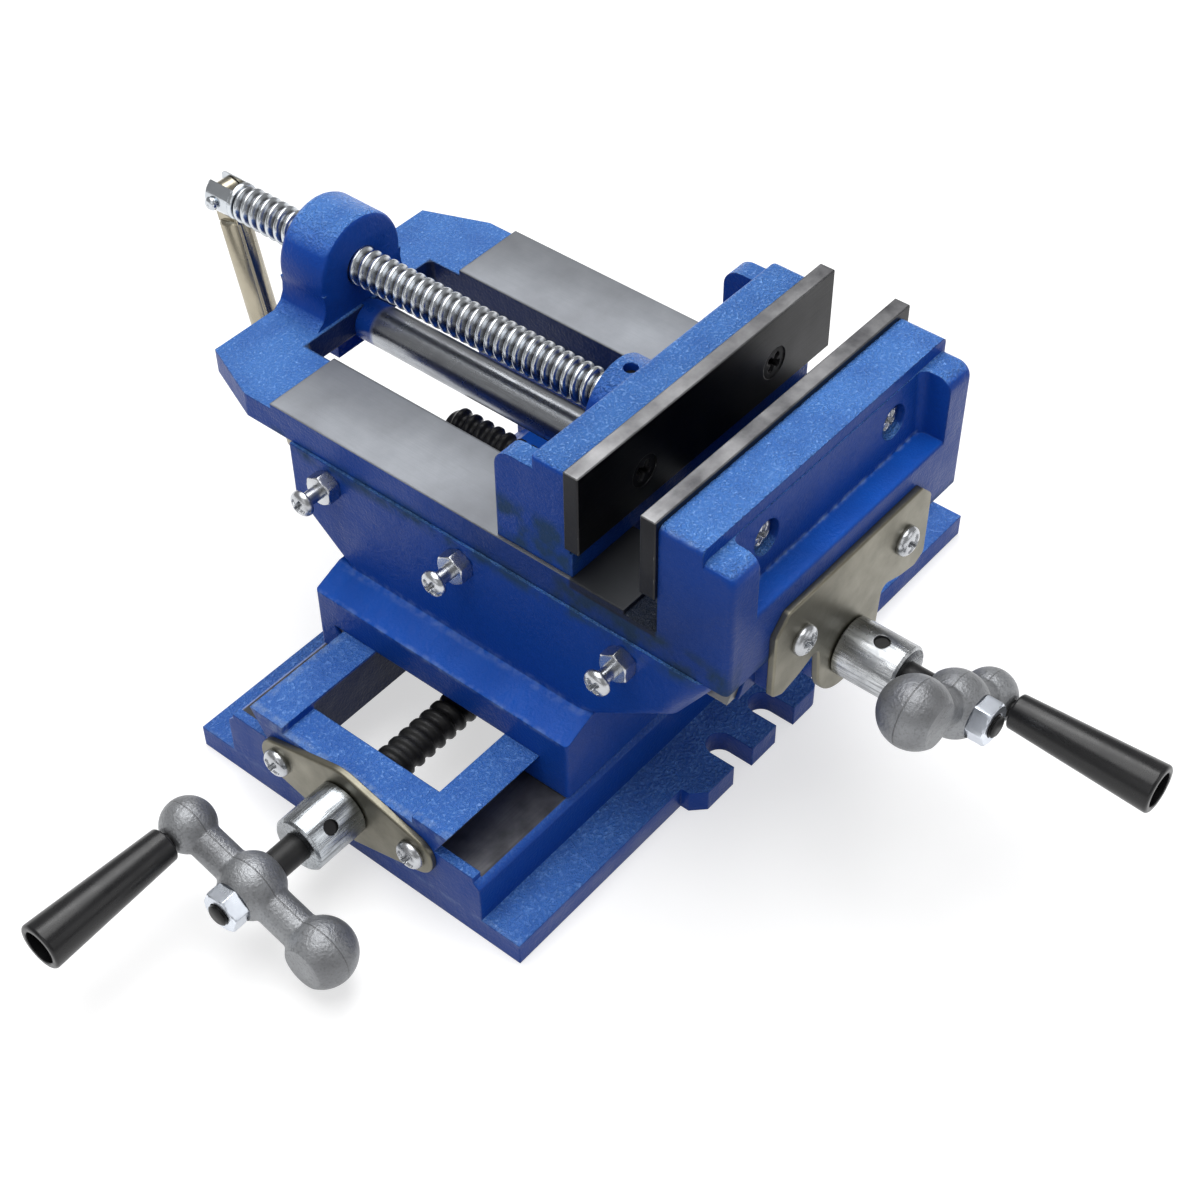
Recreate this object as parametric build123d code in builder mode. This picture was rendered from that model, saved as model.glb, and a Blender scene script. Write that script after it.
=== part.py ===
from build123d import *
import math
import os

os.makedirs("parts", exist_ok=True)

# Cross slide vise with 125 mm jaws: base, saddle on the base's dovetail along X,
# vise body on the saddle's dovetail along Y. Millimetres, Z up, the origin on the
# support plane under the middle of the base, jaws opening along Y.

# Base casting
base_length = 250.4
base_width = 142.4
flange_thickness = 9.0
block_width = 111.2
strip_z = 26.5
rail_top_z = 39.4
rail_top_half = 43.1
rail_inner_half = 28.4
cross_bar_thickness = 14.5
cross_bar_top_z = 36.4
end_lip_thickness = 3.5
end_lip_height = 2.0
block_edge_chamfer = 2.5
underside_wall = 9.0
underside_roof_z = 19.0
ear_x = -10.1
ear_width = 67.4
ear_reach = 7.9
slot_width = 10.3
slot_spacing = 23.7
slot_mid_x = -8.25
slot_end_inset = 6.9

# Axes of the machine
vise_x = -8.7
plate_x = -7.8
lower_axis_z = 24.5
upper_axis_z = 74.4
rod_axis_z = 101.3
jaw_axis_z = 123.3

# Saddle casting
saddle_half_x = 73.1
saddle_half_y = 54.7
saddle_edge_z = 51.6
saddle_shoulder_z = 56.5
saddle_leg_z = 27.0
belly_low_z = 54.5
belly_shoulder_z = 74.6
saddle_half_upper = 61.1
saddle_corner = 1.4
saddle_front_corner = 7.0
saddle_top_z = 98.95
saddle_front_y = -100.3
saddle_rear_y = 71.7
channel_half = 29.5
channel_floor_z = 60.0
nut_pocket_half_x = 48.0
nut_pocket_half_y = 24.0
nut_pocket_roof_z = 50.0

# Slides: sixty degree dovetails, one side held by a gib
flank_slope = math.tan(math.radians(30))
rail_root_half = rail_top_half - (rail_top_z - strip_z) * flank_slope
running_gap = 0.05
gib_thickness = 4.0
upper_gib_screw_z = 91.0
upper_gib_screw_ys = (54.7, -2.3, -67.3)
lower_gib_screw_z = 34.0
lower_gib_screw_xs = (-52.0, 0.0, 52.0)
gib_screw_reach = 11.4
gib_screw_radius = 2.5
gib_nut_width = 10.0
gib_nut_height = 5.2
upper_root_half = 40.0
upper_dovetail_bottom_z = 85.0
pocket_bottom_gap = 0.5

# Vise body casting
body_half = 60.1
body_bottom_z = 99.0
way_z = 110.5
way_inner_half = 30.6
way_end_y = 79.9
rear_plate_z = 108.4
rear_edge_y = 115.8
rear_corner_half = 50.6
rear_chamfer_y = 92.0
rear_left_round = 2.5
rear_right_round = 14.0
front_y = -105.0
slot_front_y = -66.5
slot_rear_y = 93.8
slot_corner = 3.0
dovetail_rear_y = 86.7
fixed_plate_back_y = -78.9
fixed_floor_end_y = -66.6
fixed_floor_drop = 1.6
jaw_top_z = 151.5
field_y = -94.4
field_draft = 1.6
field_half = 47.8
field_corner = 3.0
ledge_z = 123.3
ledge_round = 1.2
rib_drop = 4.7
rib_top_z = jaw_top_z - rib_drop
rib_round = 5.0
jaw_end_round = 2.4
boss_radius = 18.8
boss_front_y = 95.2
boss_edge = 1.8
neck_foot = 4.5
lug_half = 13.0
lug_front_y = 97.2
lug_bottom_z = 90.5

# Jaws
plate_half = 62.5
plate_thickness = 5.6
plate_bottom_z = 123.7
plate_proud = 2.3
plate_top_z = jaw_top_z + plate_proud
jaw_opening = 22.3
plate_screw_x = 32.0
plate_screw_drop = 17.8
plate_screw_z = plate_top_z - plate_screw_drop
plate_screw_radius = 3.0
plate_screw_head_radius = 5.6
fixed_screw_length = 19.4
movable_screw_length = 14.0
movable_inset = 1.0
movable_thickness = 14.6
movable_drop = 0.9
movable_top_z = jaw_top_z - movable_drop
movable_end_round = 2.0
movable_rib_drop = 4.9
movable_rib_top_z = movable_top_z - movable_rib_drop
movable_rib_depth = 13.8
movable_rib_thickness = 7.5
movable_rib_round = 6.5
movable_web_top_z = 117.5
foot_top_z = 119.7
foot_nose = 1.0
movable_boss_radius = 16.0
movable_boss_length = 16.0
groove_setback = 10.1
tongue_half = 30.3
tongue_block_half = 13.5
tongue_bottom_z = 86.5
tongue_setback = 3.2

# Screws that move the machine
lead_radius = 6.6
lead_journal_radius = 5.0
crank_stud_radius = 4.0
lower_lead_end_x = 85.0
upper_lead_end_y = 57.0
jaw_screw_radius = 6.9
jaw_journal_radius = 5.2
jaw_screw_end_y = 165.7
rod_radius = 7.4
rod_rear_y = 104.0
nut_screw_y = -46.0
nut_screw_radius = 3.0
nut_screw_head_radius = 5.0
lead_nut_half = 13.0
lower_nut_screw_length = 17.0
upper_nut_screw_length = 14.8
nut_screw_end_gap = 0.6
lower_nut_seat_z = 54.0
upper_nut_seat_z = 51.0

# Cranks
lower_hub_reach = 42.9
upper_hub_reach = 41.5
hub_ball_radius = 10.9
handle_ball_radius = 9.25
weight_ball_radius = 11.4
handle_ball_offset = 28.3
weight_ball_offset = -30.4
handle_arm_radius = 6.0
weight_arm_radius = 6.5
weight_facet = 8.6
hub_inner_face = -8.5
hub_outer_face = 7.5
crank_nut_width = 13.0
crank_nut_height = 6.5
collar_radius = 10.0
end_plate_thickness = 2.5
end_screw_x = 27.0
end_screw_z = 99.0
end_screw_radius = 2.5
lower_screw_y = 29.5
lower_plate_end_radius = 8.2
end_plate_half = 40.4
end_plate_top_z = 115.2
end_plate_low_z = 84.0
grip_start = 9.6
grip_length = 50.5
grip_small_radius = 6.0
grip_large_radius = 8.25
upper_crank_angle = -35.6
lower_crank_angle = 17.5


def finish(part, name):
    """Name a piece and write it."""
    part.part.label = name
    export_step(part.part, "parts/" + name + ".step")
    print(name, round(part.part.volume), len(part.part.solids()))


def block(x0, x1, y0, y1, z0, z1, mode=Mode.ADD):
    """An upright block between six planes."""
    with BuildSketch(Plane.XY.offset(z0)) as outline:
        with Locations(((x0 + x1) / 2, (y0 + y1) / 2)):
            Rectangle(x1 - x0, y1 - y0)
    extrude(outline.sketch, amount=z1 - z0, mode=mode)


def rod(plane, radius, start, end, mode=Mode.ADD):
    """A round bar or hole along a plane's normal."""
    with BuildSketch(plane.offset(start)) as outline:
        Circle(radius)
    extrude(outline.sketch, amount=end - start, mode=mode)


def prism(plane, points, start, end, mode=Mode.ADD):
    """A straight-sided outline drawn on a plane and carried along its normal."""
    with BuildSketch(plane.offset(start)) as outline:
        with BuildLine():
            Polyline(*points, close=True)
        make_face()
    extrude(outline.sketch, amount=end - start, mode=mode)


def turned(plane, profile):
    """A turned piece: radius and height pairs revolved about a plane's normal."""
    side = Plane(origin=plane.origin, x_dir=plane.x_dir, z_dir=-plane.y_dir)
    with BuildSketch(side) as outline:
        with BuildLine():
            Polyline(*profile, close=True)
        make_face()
    revolve(outline.sketch, axis=Axis(plane.origin, plane.z_dir))


def pan_screw(plane, head_radius, head_height, shank_radius, shank_length):
    """A domed screw whose head sits on the plane, its shank behind it."""
    turned(
        plane,
        [
            (0, -shank_length),
            (shank_radius - 0.5, -shank_length),
            (shank_radius, -shank_length + 0.5),
            (shank_radius, 0),
            (head_radius, 0),
            (head_radius, head_height * 0.35),
            (head_radius * 0.88, head_height * 0.68),
            (head_radius * 0.6, head_height * 0.92),
            (head_radius * 0.25, head_height),
            (0, head_height),
        ],
    )


def sunk_screw(plane, head_radius, shank_radius, shank_length):
    """A countersunk screw whose flat head lies just under the plane."""
    cone = head_radius - shank_radius
    turned(
        plane,
        [
            (0, -shank_length),
            (shank_radius, -shank_length),
            (shank_radius, -0.3 - cone),
            (head_radius, -0.3),
            (0, -0.3),
        ],
    )


def hex_nut(plane, width, height, bore_radius):
    """A hexagon nut standing on the plane."""
    with BuildSketch(plane) as outline:
        RegularPolygon(width / 2, 6, major_radius=False)
        Circle(bore_radius, mode=Mode.SUBTRACT)
    extrude(outline.sketch, amount=height)


def along_y(x, y, z):
    """A plane whose normal points to the rear."""
    return Plane(origin=(x, y, z), x_dir=(1, 0, 0), z_dir=(0, 1, 0))


def along_x(x, y, z):
    """A plane whose normal points along +X."""
    return Plane(origin=(x, y, z), x_dir=(0, 1, 0), z_dir=(1, 0, 0))


def facing_front(x, y, z):
    """A plane whose normal points to the front."""
    return Plane(origin=(x, y, z), x_dir=(1, 0, 0), z_dir=(0, -1, 0))


def facing_left(x, y, z):
    """A plane whose normal points along -X."""
    return Plane(origin=(x, y, z), x_dir=(0, 1, 0), z_dir=(-1, 0, 0))


# Base: flange with two slotted ears, raised block, two dovetail rails joined by
# cross bars, a window between the rails and a hollow underside
with BuildPart() as base:
    with BuildSketch():
        Rectangle(base_length, base_width)
        for side in (-1, 1):
            with Locations((ear_x, side * (base_width / 2 + ear_reach / 2 - 1))):
                Rectangle(ear_width, ear_reach + 2)
        ear_edge = base_width / 2 + ear_reach
        outer = [v for v in vertices() if abs(v.Y) > ear_edge - 0.1]
        chamfer([v for v in outer if v.X < ear_x], 4.6)
        outer = [v for v in vertices() if abs(v.Y) > ear_edge - 0.1 and v.X > ear_x + 20]
        fillet(outer, 4.0)
        for side in (-1, 1):
            for step in (-0.5, 0.5):
                slot_x = slot_mid_x + step * slot_spacing
                slot_y = side * (base_width / 2 - slot_end_inset + slot_width / 2)
                with Locations((slot_x, slot_y)):
                    Circle(slot_width / 2, mode=Mode.SUBTRACT)
                with Locations((slot_x, slot_y + side * 15)):
                    Rectangle(slot_width, 30, mode=Mode.SUBTRACT)
    extrude(amount=flange_thickness)
    half = base_length / 2
    wide = block_width / 2
    cut = block_edge_chamfer
    prism(
        Plane.YZ,
        [
            (-wide, 0),
            (-wide, strip_z - cut),
            (-wide + cut, strip_z),
            (wide - cut, strip_z),
            (wide, strip_z - cut),
            (wide, 0),
        ],
        -half,
        half,
    )
    for side in (-1, 1):
        prism(
            Plane.YZ,
            [
                (side * rail_inner_half, strip_z - 1),
                (side * (rail_root_half - flank_slope), strip_z - 1),
                (side * rail_top_half, rail_top_z),
                (side * rail_inner_half, rail_top_z),
            ],
            -half,
            half,
        )
        lip_x = sorted((side * half, side * (half - end_lip_thickness)))
        block(*lip_x, -wide + cut, wide - cut, strip_z - 1, strip_z + end_lip_height)
        bar_x = sorted((side * half, side * (half - cross_bar_thickness)))
        block(*bar_x, -rail_inner_half - 1, rail_inner_half + 1, strip_z - 1, cross_bar_top_z)
    window = half - cross_bar_thickness
    block(-window, window, -rail_inner_half, rail_inner_half, -1, strip_z + 1, Mode.SUBTRACT)
    with BuildSketch():
        Rectangle(2 * window, block_width - 2 * underside_wall)
        fillet(vertices(), 5)
    extrude(amount=underside_roof_z, mode=Mode.SUBTRACT)
    lower_axis = along_x(0, 0, lower_axis_z)
    rod(lower_axis, lead_radius + 0.5, -half - 1, -window + 1, Mode.SUBTRACT)
    for side in (-1, 1):
        hole = along_x(-half, side * lower_screw_y, lower_axis_z)
        rod(hole, end_screw_radius, -1, 12, Mode.SUBTRACT)
finish(base, "base")

# Saddle: a lower block whose legs wrap the base's dovetail, and a tall channel
# along Y whose walls carry the vise body's dovetail
upper_root_gap = upper_root_half + running_gap
pocket_bottom = upper_dovetail_bottom_z - pocket_bottom_gap
pocket_drop = body_bottom_z - pocket_bottom
pocket_right = upper_root_gap + pocket_drop * flank_slope
gib_room = gib_thickness + 2 * running_gap
left = vise_x - saddle_half_upper
right = vise_x + saddle_half_upper
with BuildPart() as saddle:
    prism(
        Plane.YZ,
        [
            (saddle_front_y, saddle_top_z),
            (saddle_front_y + 16, belly_shoulder_z),
            (-saddle_half_y - 2.6, belly_low_z + 1),
            (-saddle_half_y + 4.7, belly_low_z),
            (saddle_half_y - 8.7, belly_low_z),
            (saddle_half_y - 4, belly_low_z + 4.3),
            (saddle_rear_y, belly_shoulder_z + 2.4),
            (saddle_rear_y, saddle_top_z),
        ],
        left,
        right,
    )
    corner = [e for e in edges() if e.center().Y < -60 and abs(e.center().X - vise_x) > 60]
    corner = [e for e in corner if 60 < e.center().Z < saddle_top_z - 1]
    fillet(corner, saddle_front_corner)
    prism(
        Plane.XZ,
        [
            (vise_x - saddle_half_x, saddle_leg_z),
            (vise_x - saddle_half_x, saddle_edge_z),
            (left, saddle_shoulder_z),
            (right, saddle_shoulder_z),
            (vise_x + saddle_half_x, saddle_edge_z),
            (vise_x + saddle_half_x, saddle_leg_z),
        ],
        -saddle_half_y,
        saddle_half_y,
    )
    corner = edges().filter_by(Axis.Z)
    corner = [e for e in corner if abs(abs(e.center().X - vise_x) - saddle_half_x) < 0.1]
    fillet(corner, saddle_corner)
    # channel, its rear mouth sloping down to the block's edge
    block(
        vise_x - channel_half,
        vise_x + channel_half,
        saddle_front_y - 5,
        saddle_rear_y + 5,
        channel_floor_z,
        saddle_top_z + 5,
        Mode.SUBTRACT,
    )
    prism(
        Plane.YZ,
        [
            (saddle_half_y - 10.7, channel_floor_z + 1),
            (saddle_half_y + 0.01, saddle_edge_z),
            (saddle_rear_y, saddle_edge_z - 1.6),
            (saddle_rear_y, channel_floor_z + 1),
        ],
        vise_x - channel_half,
        vise_x + channel_half,
        Mode.SUBTRACT,
    )
    # female dovetail, wider on the left for the gib
    gap_z = saddle_top_z + 1
    overrun = (gap_z - body_bottom_z) * flank_slope
    prism(
        Plane.XZ,
        [
            (vise_x - upper_root_gap - gib_room + overrun, gap_z),
            (vise_x - pocket_right - gib_room, pocket_bottom),
            (vise_x + pocket_right, pocket_bottom),
            (vise_x + upper_root_gap - overrun, gap_z),
        ],
        -saddle_rear_y - 5,
        -saddle_front_y + 5,
        Mode.SUBTRACT,
    )
    # dovetail over the base rails, wider at the rear for the lower gib
    leg_root = rail_root_half + running_gap
    leg_top = rail_top_half + running_gap
    down = (strip_z - 1 - strip_z) * flank_slope
    seat_z = rail_top_z + running_gap
    rise = (seat_z - rail_top_z) * flank_slope
    prism(
        Plane.YZ,
        [
            (-leg_top - rise, seat_z),
            (-leg_root - down, strip_z - 1),
            (leg_root + gib_room + down, strip_z - 1),
            (leg_top + gib_room + rise, seat_z),
        ],
        vise_x - saddle_half_x - 1,
        vise_x + saddle_half_x + 1,
        Mode.SUBTRACT,
    )
    block(
        vise_x - nut_pocket_half_x,
        vise_x + nut_pocket_half_x,
        -nut_pocket_half_y,
        nut_pocket_half_y,
        seat_z - 1,
        nut_pocket_roof_z,
        Mode.SUBTRACT,
    )
    for y in upper_gib_screw_ys:
        hole = along_x(left - 1, y, upper_gib_screw_z)
        rod(hole, gib_screw_radius, 0, 20, Mode.SUBTRACT)
    for x in lower_gib_screw_xs:
        hole = along_y(vise_x + x, saddle_half_y - 14.7, lower_gib_screw_z)
        rod(hole, gib_screw_radius, 0, 20, Mode.SUBTRACT)
    hole = Plane.XY.move(Location((vise_x, 0, 0)))
    rod(hole, nut_screw_radius + 0.3, nut_pocket_roof_z - 5, 65, Mode.SUBTRACT)
    rod(hole, nut_screw_head_radius + 0.6, lower_nut_seat_z, 65, Mode.SUBTRACT)
    hole = Plane.XY.move(Location((vise_x, nut_screw_y, 0)))
    rod(hole, nut_screw_radius, 50, 65, Mode.SUBTRACT)
    rod(hole, nut_screw_head_radius + 0.6, 30, upper_nut_seat_z, Mode.SUBTRACT)
finish(saddle, "saddle")

# Vise body: ways, fixed jaw, rear boss and dovetail in one casting
body_left = vise_x - body_half
body_right = vise_x + body_half
with BuildPart() as vise_body:
    block(body_left, body_right, front_y + 3, way_end_y, body_bottom_z, way_z)
    with BuildSketch(Plane.XY.offset(body_bottom_z)):
        with BuildLine():
            Polyline(
                (body_left, way_end_y - 1),
                (body_left, rear_chamfer_y),
                (vise_x - rear_corner_half, rear_edge_y),
                (vise_x + rear_corner_half, rear_edge_y),
                (body_right, rear_chamfer_y),
                (body_right, way_end_y - 1),
                (body_left, way_end_y - 1),
            )
        make_face()
        bends = [v for v in vertices() if abs(v.Y - rear_chamfer_y) < 0.1]
        fillet([v for v in bends if v.X < vise_x], rear_left_round)
        fillet([v for v in bends if v.X > vise_x], rear_right_round)
    extrude(amount=rear_plate_z - body_bottom_z)
    # fixed jaw: wall, two end ribs with rounded fronts, and the field sunk between them
    with BuildSketch(Plane.YZ.offset(body_left)):
        with BuildLine():
            Polyline(
                (fixed_plate_back_y, body_bottom_z),
                (fixed_plate_back_y, jaw_top_z),
                (field_y, jaw_top_z),
                (field_y, rib_top_z),
                (front_y + rib_round, rib_top_z),
            )
            ThreePointArc(
                (front_y + rib_round, rib_top_z),
                (
                    front_y + rib_round * (1 - math.sqrt(0.5)),
                    rib_top_z - rib_round * (1 - math.sqrt(0.5)),
                ),
                (front_y, rib_top_z - rib_round),
            )
            Polyline(
                (front_y, rib_top_z - rib_round),
                (front_y, body_bottom_z + 0.5),
                (front_y + 0.5, body_bottom_z),
                (fixed_plate_back_y, body_bottom_z),
            )
        make_face()
    extrude(amount=2 * body_half)
    ends = [e for e in edges() if abs(abs(e.center().X - vise_x) - body_half) < 0.1]
    tops = [e for e in ends if e.center().Z > jaw_top_z - 0.1]
    fillet(tops, jaw_end_round)
    ends = [e for e in edges() if abs(abs(e.center().X - vise_x) - body_half) < 0.1]
    ends = [e for e in ends if e.center().Y < field_y - 1 and e.center().Z > way_z + 1]
    fillet(ends, jaw_end_round)
    with BuildSketch(Plane.XY.offset(ledge_z)):
        with Locations((vise_x, field_y - field_draft - 15)):
            Rectangle(2 * field_half, 30)
        fillet(vertices().group_by(Axis.Y)[-1], field_corner)
    with BuildSketch(Plane.XY.offset(jaw_top_z)):
        with Locations((vise_x, field_y - 15)):
            Rectangle(2 * field_half, 30)
        fillet(vertices().group_by(Axis.Y)[-1], field_corner)
    loft(mode=Mode.SUBTRACT)
    lip = [e for e in edges() if abs(e.center().Z - ledge_z) < 0.1 and e.center().Y < front_y + 0.1]
    fillet(lip, ledge_round)
    # floor in front of the fixed jaw, lower than the ways
    block(
        body_left - 1,
        body_right + 1,
        fixed_plate_back_y,
        fixed_floor_end_y,
        way_z - fixed_floor_drop,
        way_z + 1,
        Mode.SUBTRACT,
    )
    # dovetail underneath: solid at the front, two rails behind
    drop = body_bottom_z - upper_dovetail_bottom_z
    bottom_half = upper_root_half + drop * flank_slope
    prism(
        Plane.XZ,
        [
            (vise_x - upper_root_half, body_bottom_z),
            (vise_x - bottom_half, upper_dovetail_bottom_z),
            (vise_x + bottom_half, upper_dovetail_bottom_z),
            (vise_x + upper_root_half, body_bottom_z),
        ],
        -dovetail_rear_y,
        -saddle_front_y,
    )
    pad = upper_root_half - 0.5
    block(vise_x - pad, vise_x + pad, front_y, saddle_front_y, upper_dovetail_bottom_z, way_z - 5)
    with BuildSketch(Plane.XY.offset(upper_dovetail_bottom_z - 1)):
        with Locations((vise_x, (slot_front_y + slot_rear_y) / 2)):
            Rectangle(2 * way_inner_half, slot_rear_y - slot_front_y)
        fillet(vertices().group_by(Axis.Y)[-1], slot_corner)
    extrude(amount=40, mode=Mode.SUBTRACT)
    # lug that holds the rod's rear end
    block(vise_x - lug_half, vise_x + lug_half, lug_front_y, rear_edge_y - 6, lug_bottom_z, body_bottom_z + 1)
    # rear boss for the jaw screw, on a neck that spreads into the plate
    boss_length = rear_edge_y - boss_front_y
    turned(
        along_y(vise_x, boss_front_y, jaw_axis_z),
        [
            (0, 0),
            (boss_radius - boss_edge, 0),
            (boss_radius - boss_edge * 0.3, boss_edge * 0.3),
            (boss_radius, boss_edge),
            (boss_radius, boss_length - boss_edge),
            (boss_radius - boss_edge * 0.3, boss_length - boss_edge * 0.3),
            (boss_radius - boss_edge, boss_length),
            (0, boss_length),
        ],
    )
    neck_side = [
        (boss_radius - 0.3, jaw_axis_z - 3),
        (boss_radius - 0.8, jaw_axis_z - 6),
        (boss_radius - 0.4, rear_plate_z + 5.5),
        (boss_radius + 1.2, rear_plate_z + 2.4),
        (boss_radius + neck_foot, rear_plate_z),
        (boss_radius + neck_foot, rear_plate_z - 1),
    ]
    outline = [(vise_x + a, b) for a, b in neck_side]
    outline += [(vise_x - a, b) for a, b in reversed(neck_side)]
    prism(Plane.XZ, outline, -rear_edge_y, -boss_front_y)
    bore = along_y(vise_x, boss_front_y, jaw_axis_z)
    rod(bore, jaw_screw_radius + 0.05, -1, boss_length + 1, Mode.SUBTRACT)
    bore = along_y(vise_x, 0, rod_axis_z)
    rod(bore, rod_radius + 0.02, front_y - 1, slot_front_y + 1, Mode.SUBTRACT)
    rod(bore, rod_radius + 0.02, slot_rear_y - 1, rod_rear_y + 0.2, Mode.SUBTRACT)
    for side in (-1, 1):
        hole = along_y(plate_x + side * plate_screw_x, field_y, plate_screw_z)
        rod(hole, plate_screw_radius + 0.2, -2, 20, Mode.SUBTRACT)
        rod(hole, plate_screw_head_radius + 0.3, -2, 3.2, Mode.SUBTRACT)
        hole = along_y(vise_x + side * end_screw_x, front_y, end_screw_z)
        rod(hole, end_screw_radius, -1, 12, Mode.SUBTRACT)
finish(vise_body, "vise_body")

# Jaw plates, through-drilled on the movable side, tapped from behind on the fixed side
fixed_face_y = fixed_plate_back_y + plate_thickness
movable_face_y = fixed_face_y + jaw_opening
movable_back_y = movable_face_y + plate_thickness
with BuildPart() as fixed_jaw_plate:
    block(
        plate_x - plate_half,
        plate_x + plate_half,
        fixed_plate_back_y,
        fixed_face_y,
        plate_bottom_z,
        plate_top_z,
    )
    chamfer(edges(), 0.35)
    for side in (-1, 1):
        hole = along_y(plate_x + side * plate_screw_x, fixed_plate_back_y, plate_screw_z)
        rod(hole, plate_screw_radius, -1, 4.2, Mode.SUBTRACT)
finish(fixed_jaw_plate, "fixed_jaw_plate")

with BuildPart() as movable_jaw_plate:
    block(
        plate_x - plate_half,
        plate_x + plate_half,
        movable_face_y,
        movable_back_y,
        plate_bottom_z,
        plate_top_z,
    )
    chamfer(edges(), 0.35)
    for side in (-1, 1):
        hole = facing_front(plate_x + side * plate_screw_x, movable_face_y, plate_screw_z)
        with BuildSketch(hole):
            Circle(plate_screw_head_radius)
        extrude(amount=-0.3, mode=Mode.SUBTRACT)
        with BuildSketch(hole.offset(-0.3)):
            Circle(plate_screw_head_radius)
        with BuildSketch(hole.offset(-0.3 - plate_screw_head_radius + plate_screw_radius)):
            Circle(plate_screw_radius)
        loft(mode=Mode.SUBTRACT)
        rod(hole, plate_screw_radius, -plate_thickness - 1, 0, Mode.SUBTRACT)
finish(movable_jaw_plate, "movable_jaw_plate")

with BuildPart() as fixed_jaw_screws:
    for side in (-1, 1):
        seat = facing_front(plate_x + side * plate_screw_x, field_y, plate_screw_z)
        with BuildSketch(seat.offset(-3.0)):
            Circle(plate_screw_head_radius)
        extrude(amount=2.4)
        rod(seat, plate_screw_radius, -fixed_screw_length, -2.0)
finish(fixed_jaw_screws, "fixed_jaw_screws")

with BuildPart() as movable_jaw_screws:
    for side in (-1, 1):
        seat = facing_front(plate_x + side * plate_screw_x, movable_face_y, plate_screw_z)
        sunk_screw(seat, plate_screw_head_radius, plate_screw_radius, movable_screw_length)
finish(movable_jaw_screws, "movable_jaw_screws")

# Movable jaw: upright, two end ribs, screw boss, and a tongue through the bed
jaw_rear_y = movable_back_y + movable_thickness
foot_z = way_z + running_gap
jaw_screw_start_y = movable_back_y + 9.8
rib_end_y = jaw_rear_y + movable_rib_depth
boss_end_y = jaw_rear_y + movable_boss_length
groove_y = jaw_rear_y + groove_setback
movable_half = body_half - movable_inset
jaw_left = vise_x - movable_half
jaw_right = vise_x + movable_half
tongue_top_z = foot_z + 1
tongue_front_y = movable_back_y + tongue_setback
with BuildPart() as movable_jaw:
    block(jaw_left, jaw_right, movable_back_y, jaw_rear_y, foot_z, movable_top_z)
    fillet(edges().filter_by(Axis.X).group_by(Axis.Z)[-1].sort_by(Axis.Y)[-1], 1.5)
    ends = [e for e in edges().filter_by(Axis.Y) if e.center().Z > movable_top_z - 0.1]
    fillet(ends, movable_end_round)
    block(jaw_left, jaw_right, movable_back_y - foot_nose, movable_back_y + 1, foot_z, foot_top_z)
    for rib_start in (jaw_left, jaw_right - movable_rib_thickness):
        with BuildSketch(Plane.YZ.offset(rib_start)):
            with BuildLine():
                Polyline(
                    (jaw_rear_y - 2, foot_z),
                    (jaw_rear_y - 2, movable_rib_top_z),
                    (rib_end_y - movable_rib_round, movable_rib_top_z),
                )
                ThreePointArc(
                    (rib_end_y - movable_rib_round, movable_rib_top_z),
                    (
                        rib_end_y - movable_rib_round * (1 - math.sqrt(0.5)),
                        movable_rib_top_z - movable_rib_round * (1 - math.sqrt(0.5)),
                    ),
                    (rib_end_y, movable_rib_top_z - movable_rib_round),
                )
                Polyline(
                    (rib_end_y, movable_rib_top_z - movable_rib_round),
                    (rib_end_y, foot_z),
                    (jaw_rear_y - 2, foot_z),
                )
            make_face()
        extrude(amount=movable_rib_thickness)
    web = movable_rib_thickness - 1
    block(jaw_left + web, jaw_right - web, jaw_rear_y - 1, rib_end_y - 2, foot_z, movable_web_top_z)
    axis = along_y(vise_x, 0, jaw_axis_z)
    rod(axis, movable_boss_radius, jaw_rear_y - 1, boss_end_y)
    block(vise_x - 12, vise_x + 12, jaw_rear_y - 1, boss_end_y - 1.5, foot_z, jaw_axis_z)
    block(
        vise_x - tongue_half,
        vise_x + tongue_half,
        tongue_front_y,
        rib_end_y,
        body_bottom_z + 0.6,
        tongue_top_z,
    )
    block(
        vise_x - tongue_block_half,
        vise_x + tongue_block_half,
        tongue_front_y,
        boss_end_y,
        tongue_bottom_z,
        tongue_top_z,
    )
    bore = along_y(vise_x, 0, rod_axis_z)
    rod(bore, rod_radius + 0.05, movable_back_y - 10, boss_end_y + 10, Mode.SUBTRACT)
    rod(axis, jaw_journal_radius + 0.05, jaw_screw_start_y - 0.4, boss_end_y + 10, Mode.SUBTRACT)
    hole = Plane.XY.move(Location((vise_x, groove_y, 0)))
    rod(hole, 2.5, jaw_axis_z + 2, jaw_axis_z + movable_boss_radius + 4, Mode.SUBTRACT)
    for side in (-1, 1):
        hole = along_y(plate_x + side * plate_screw_x, movable_back_y, plate_screw_z)
        rod(hole, plate_screw_radius, -1, 9.5, Mode.SUBTRACT)
finish(movable_jaw, "movable_jaw")

with BuildPart() as jaw_retaining_screw:
    seat = Plane.XY.move(Location((vise_x, groove_y, jaw_axis_z)))
    rod(seat, 1.4, 3.8, 6.0)
    rod(seat, 2.45, 6.0, 13.0)
finish(jaw_retaining_screw, "jaw_retaining_screw")

with BuildPart() as guide_rod:
    rod(along_y(vise_x, 0, rod_axis_z), rod_radius, front_y + 0.2, rod_rear_y)
    chamfer(edges(), 0.8)
finish(guide_rod, "guide_rod")

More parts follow.
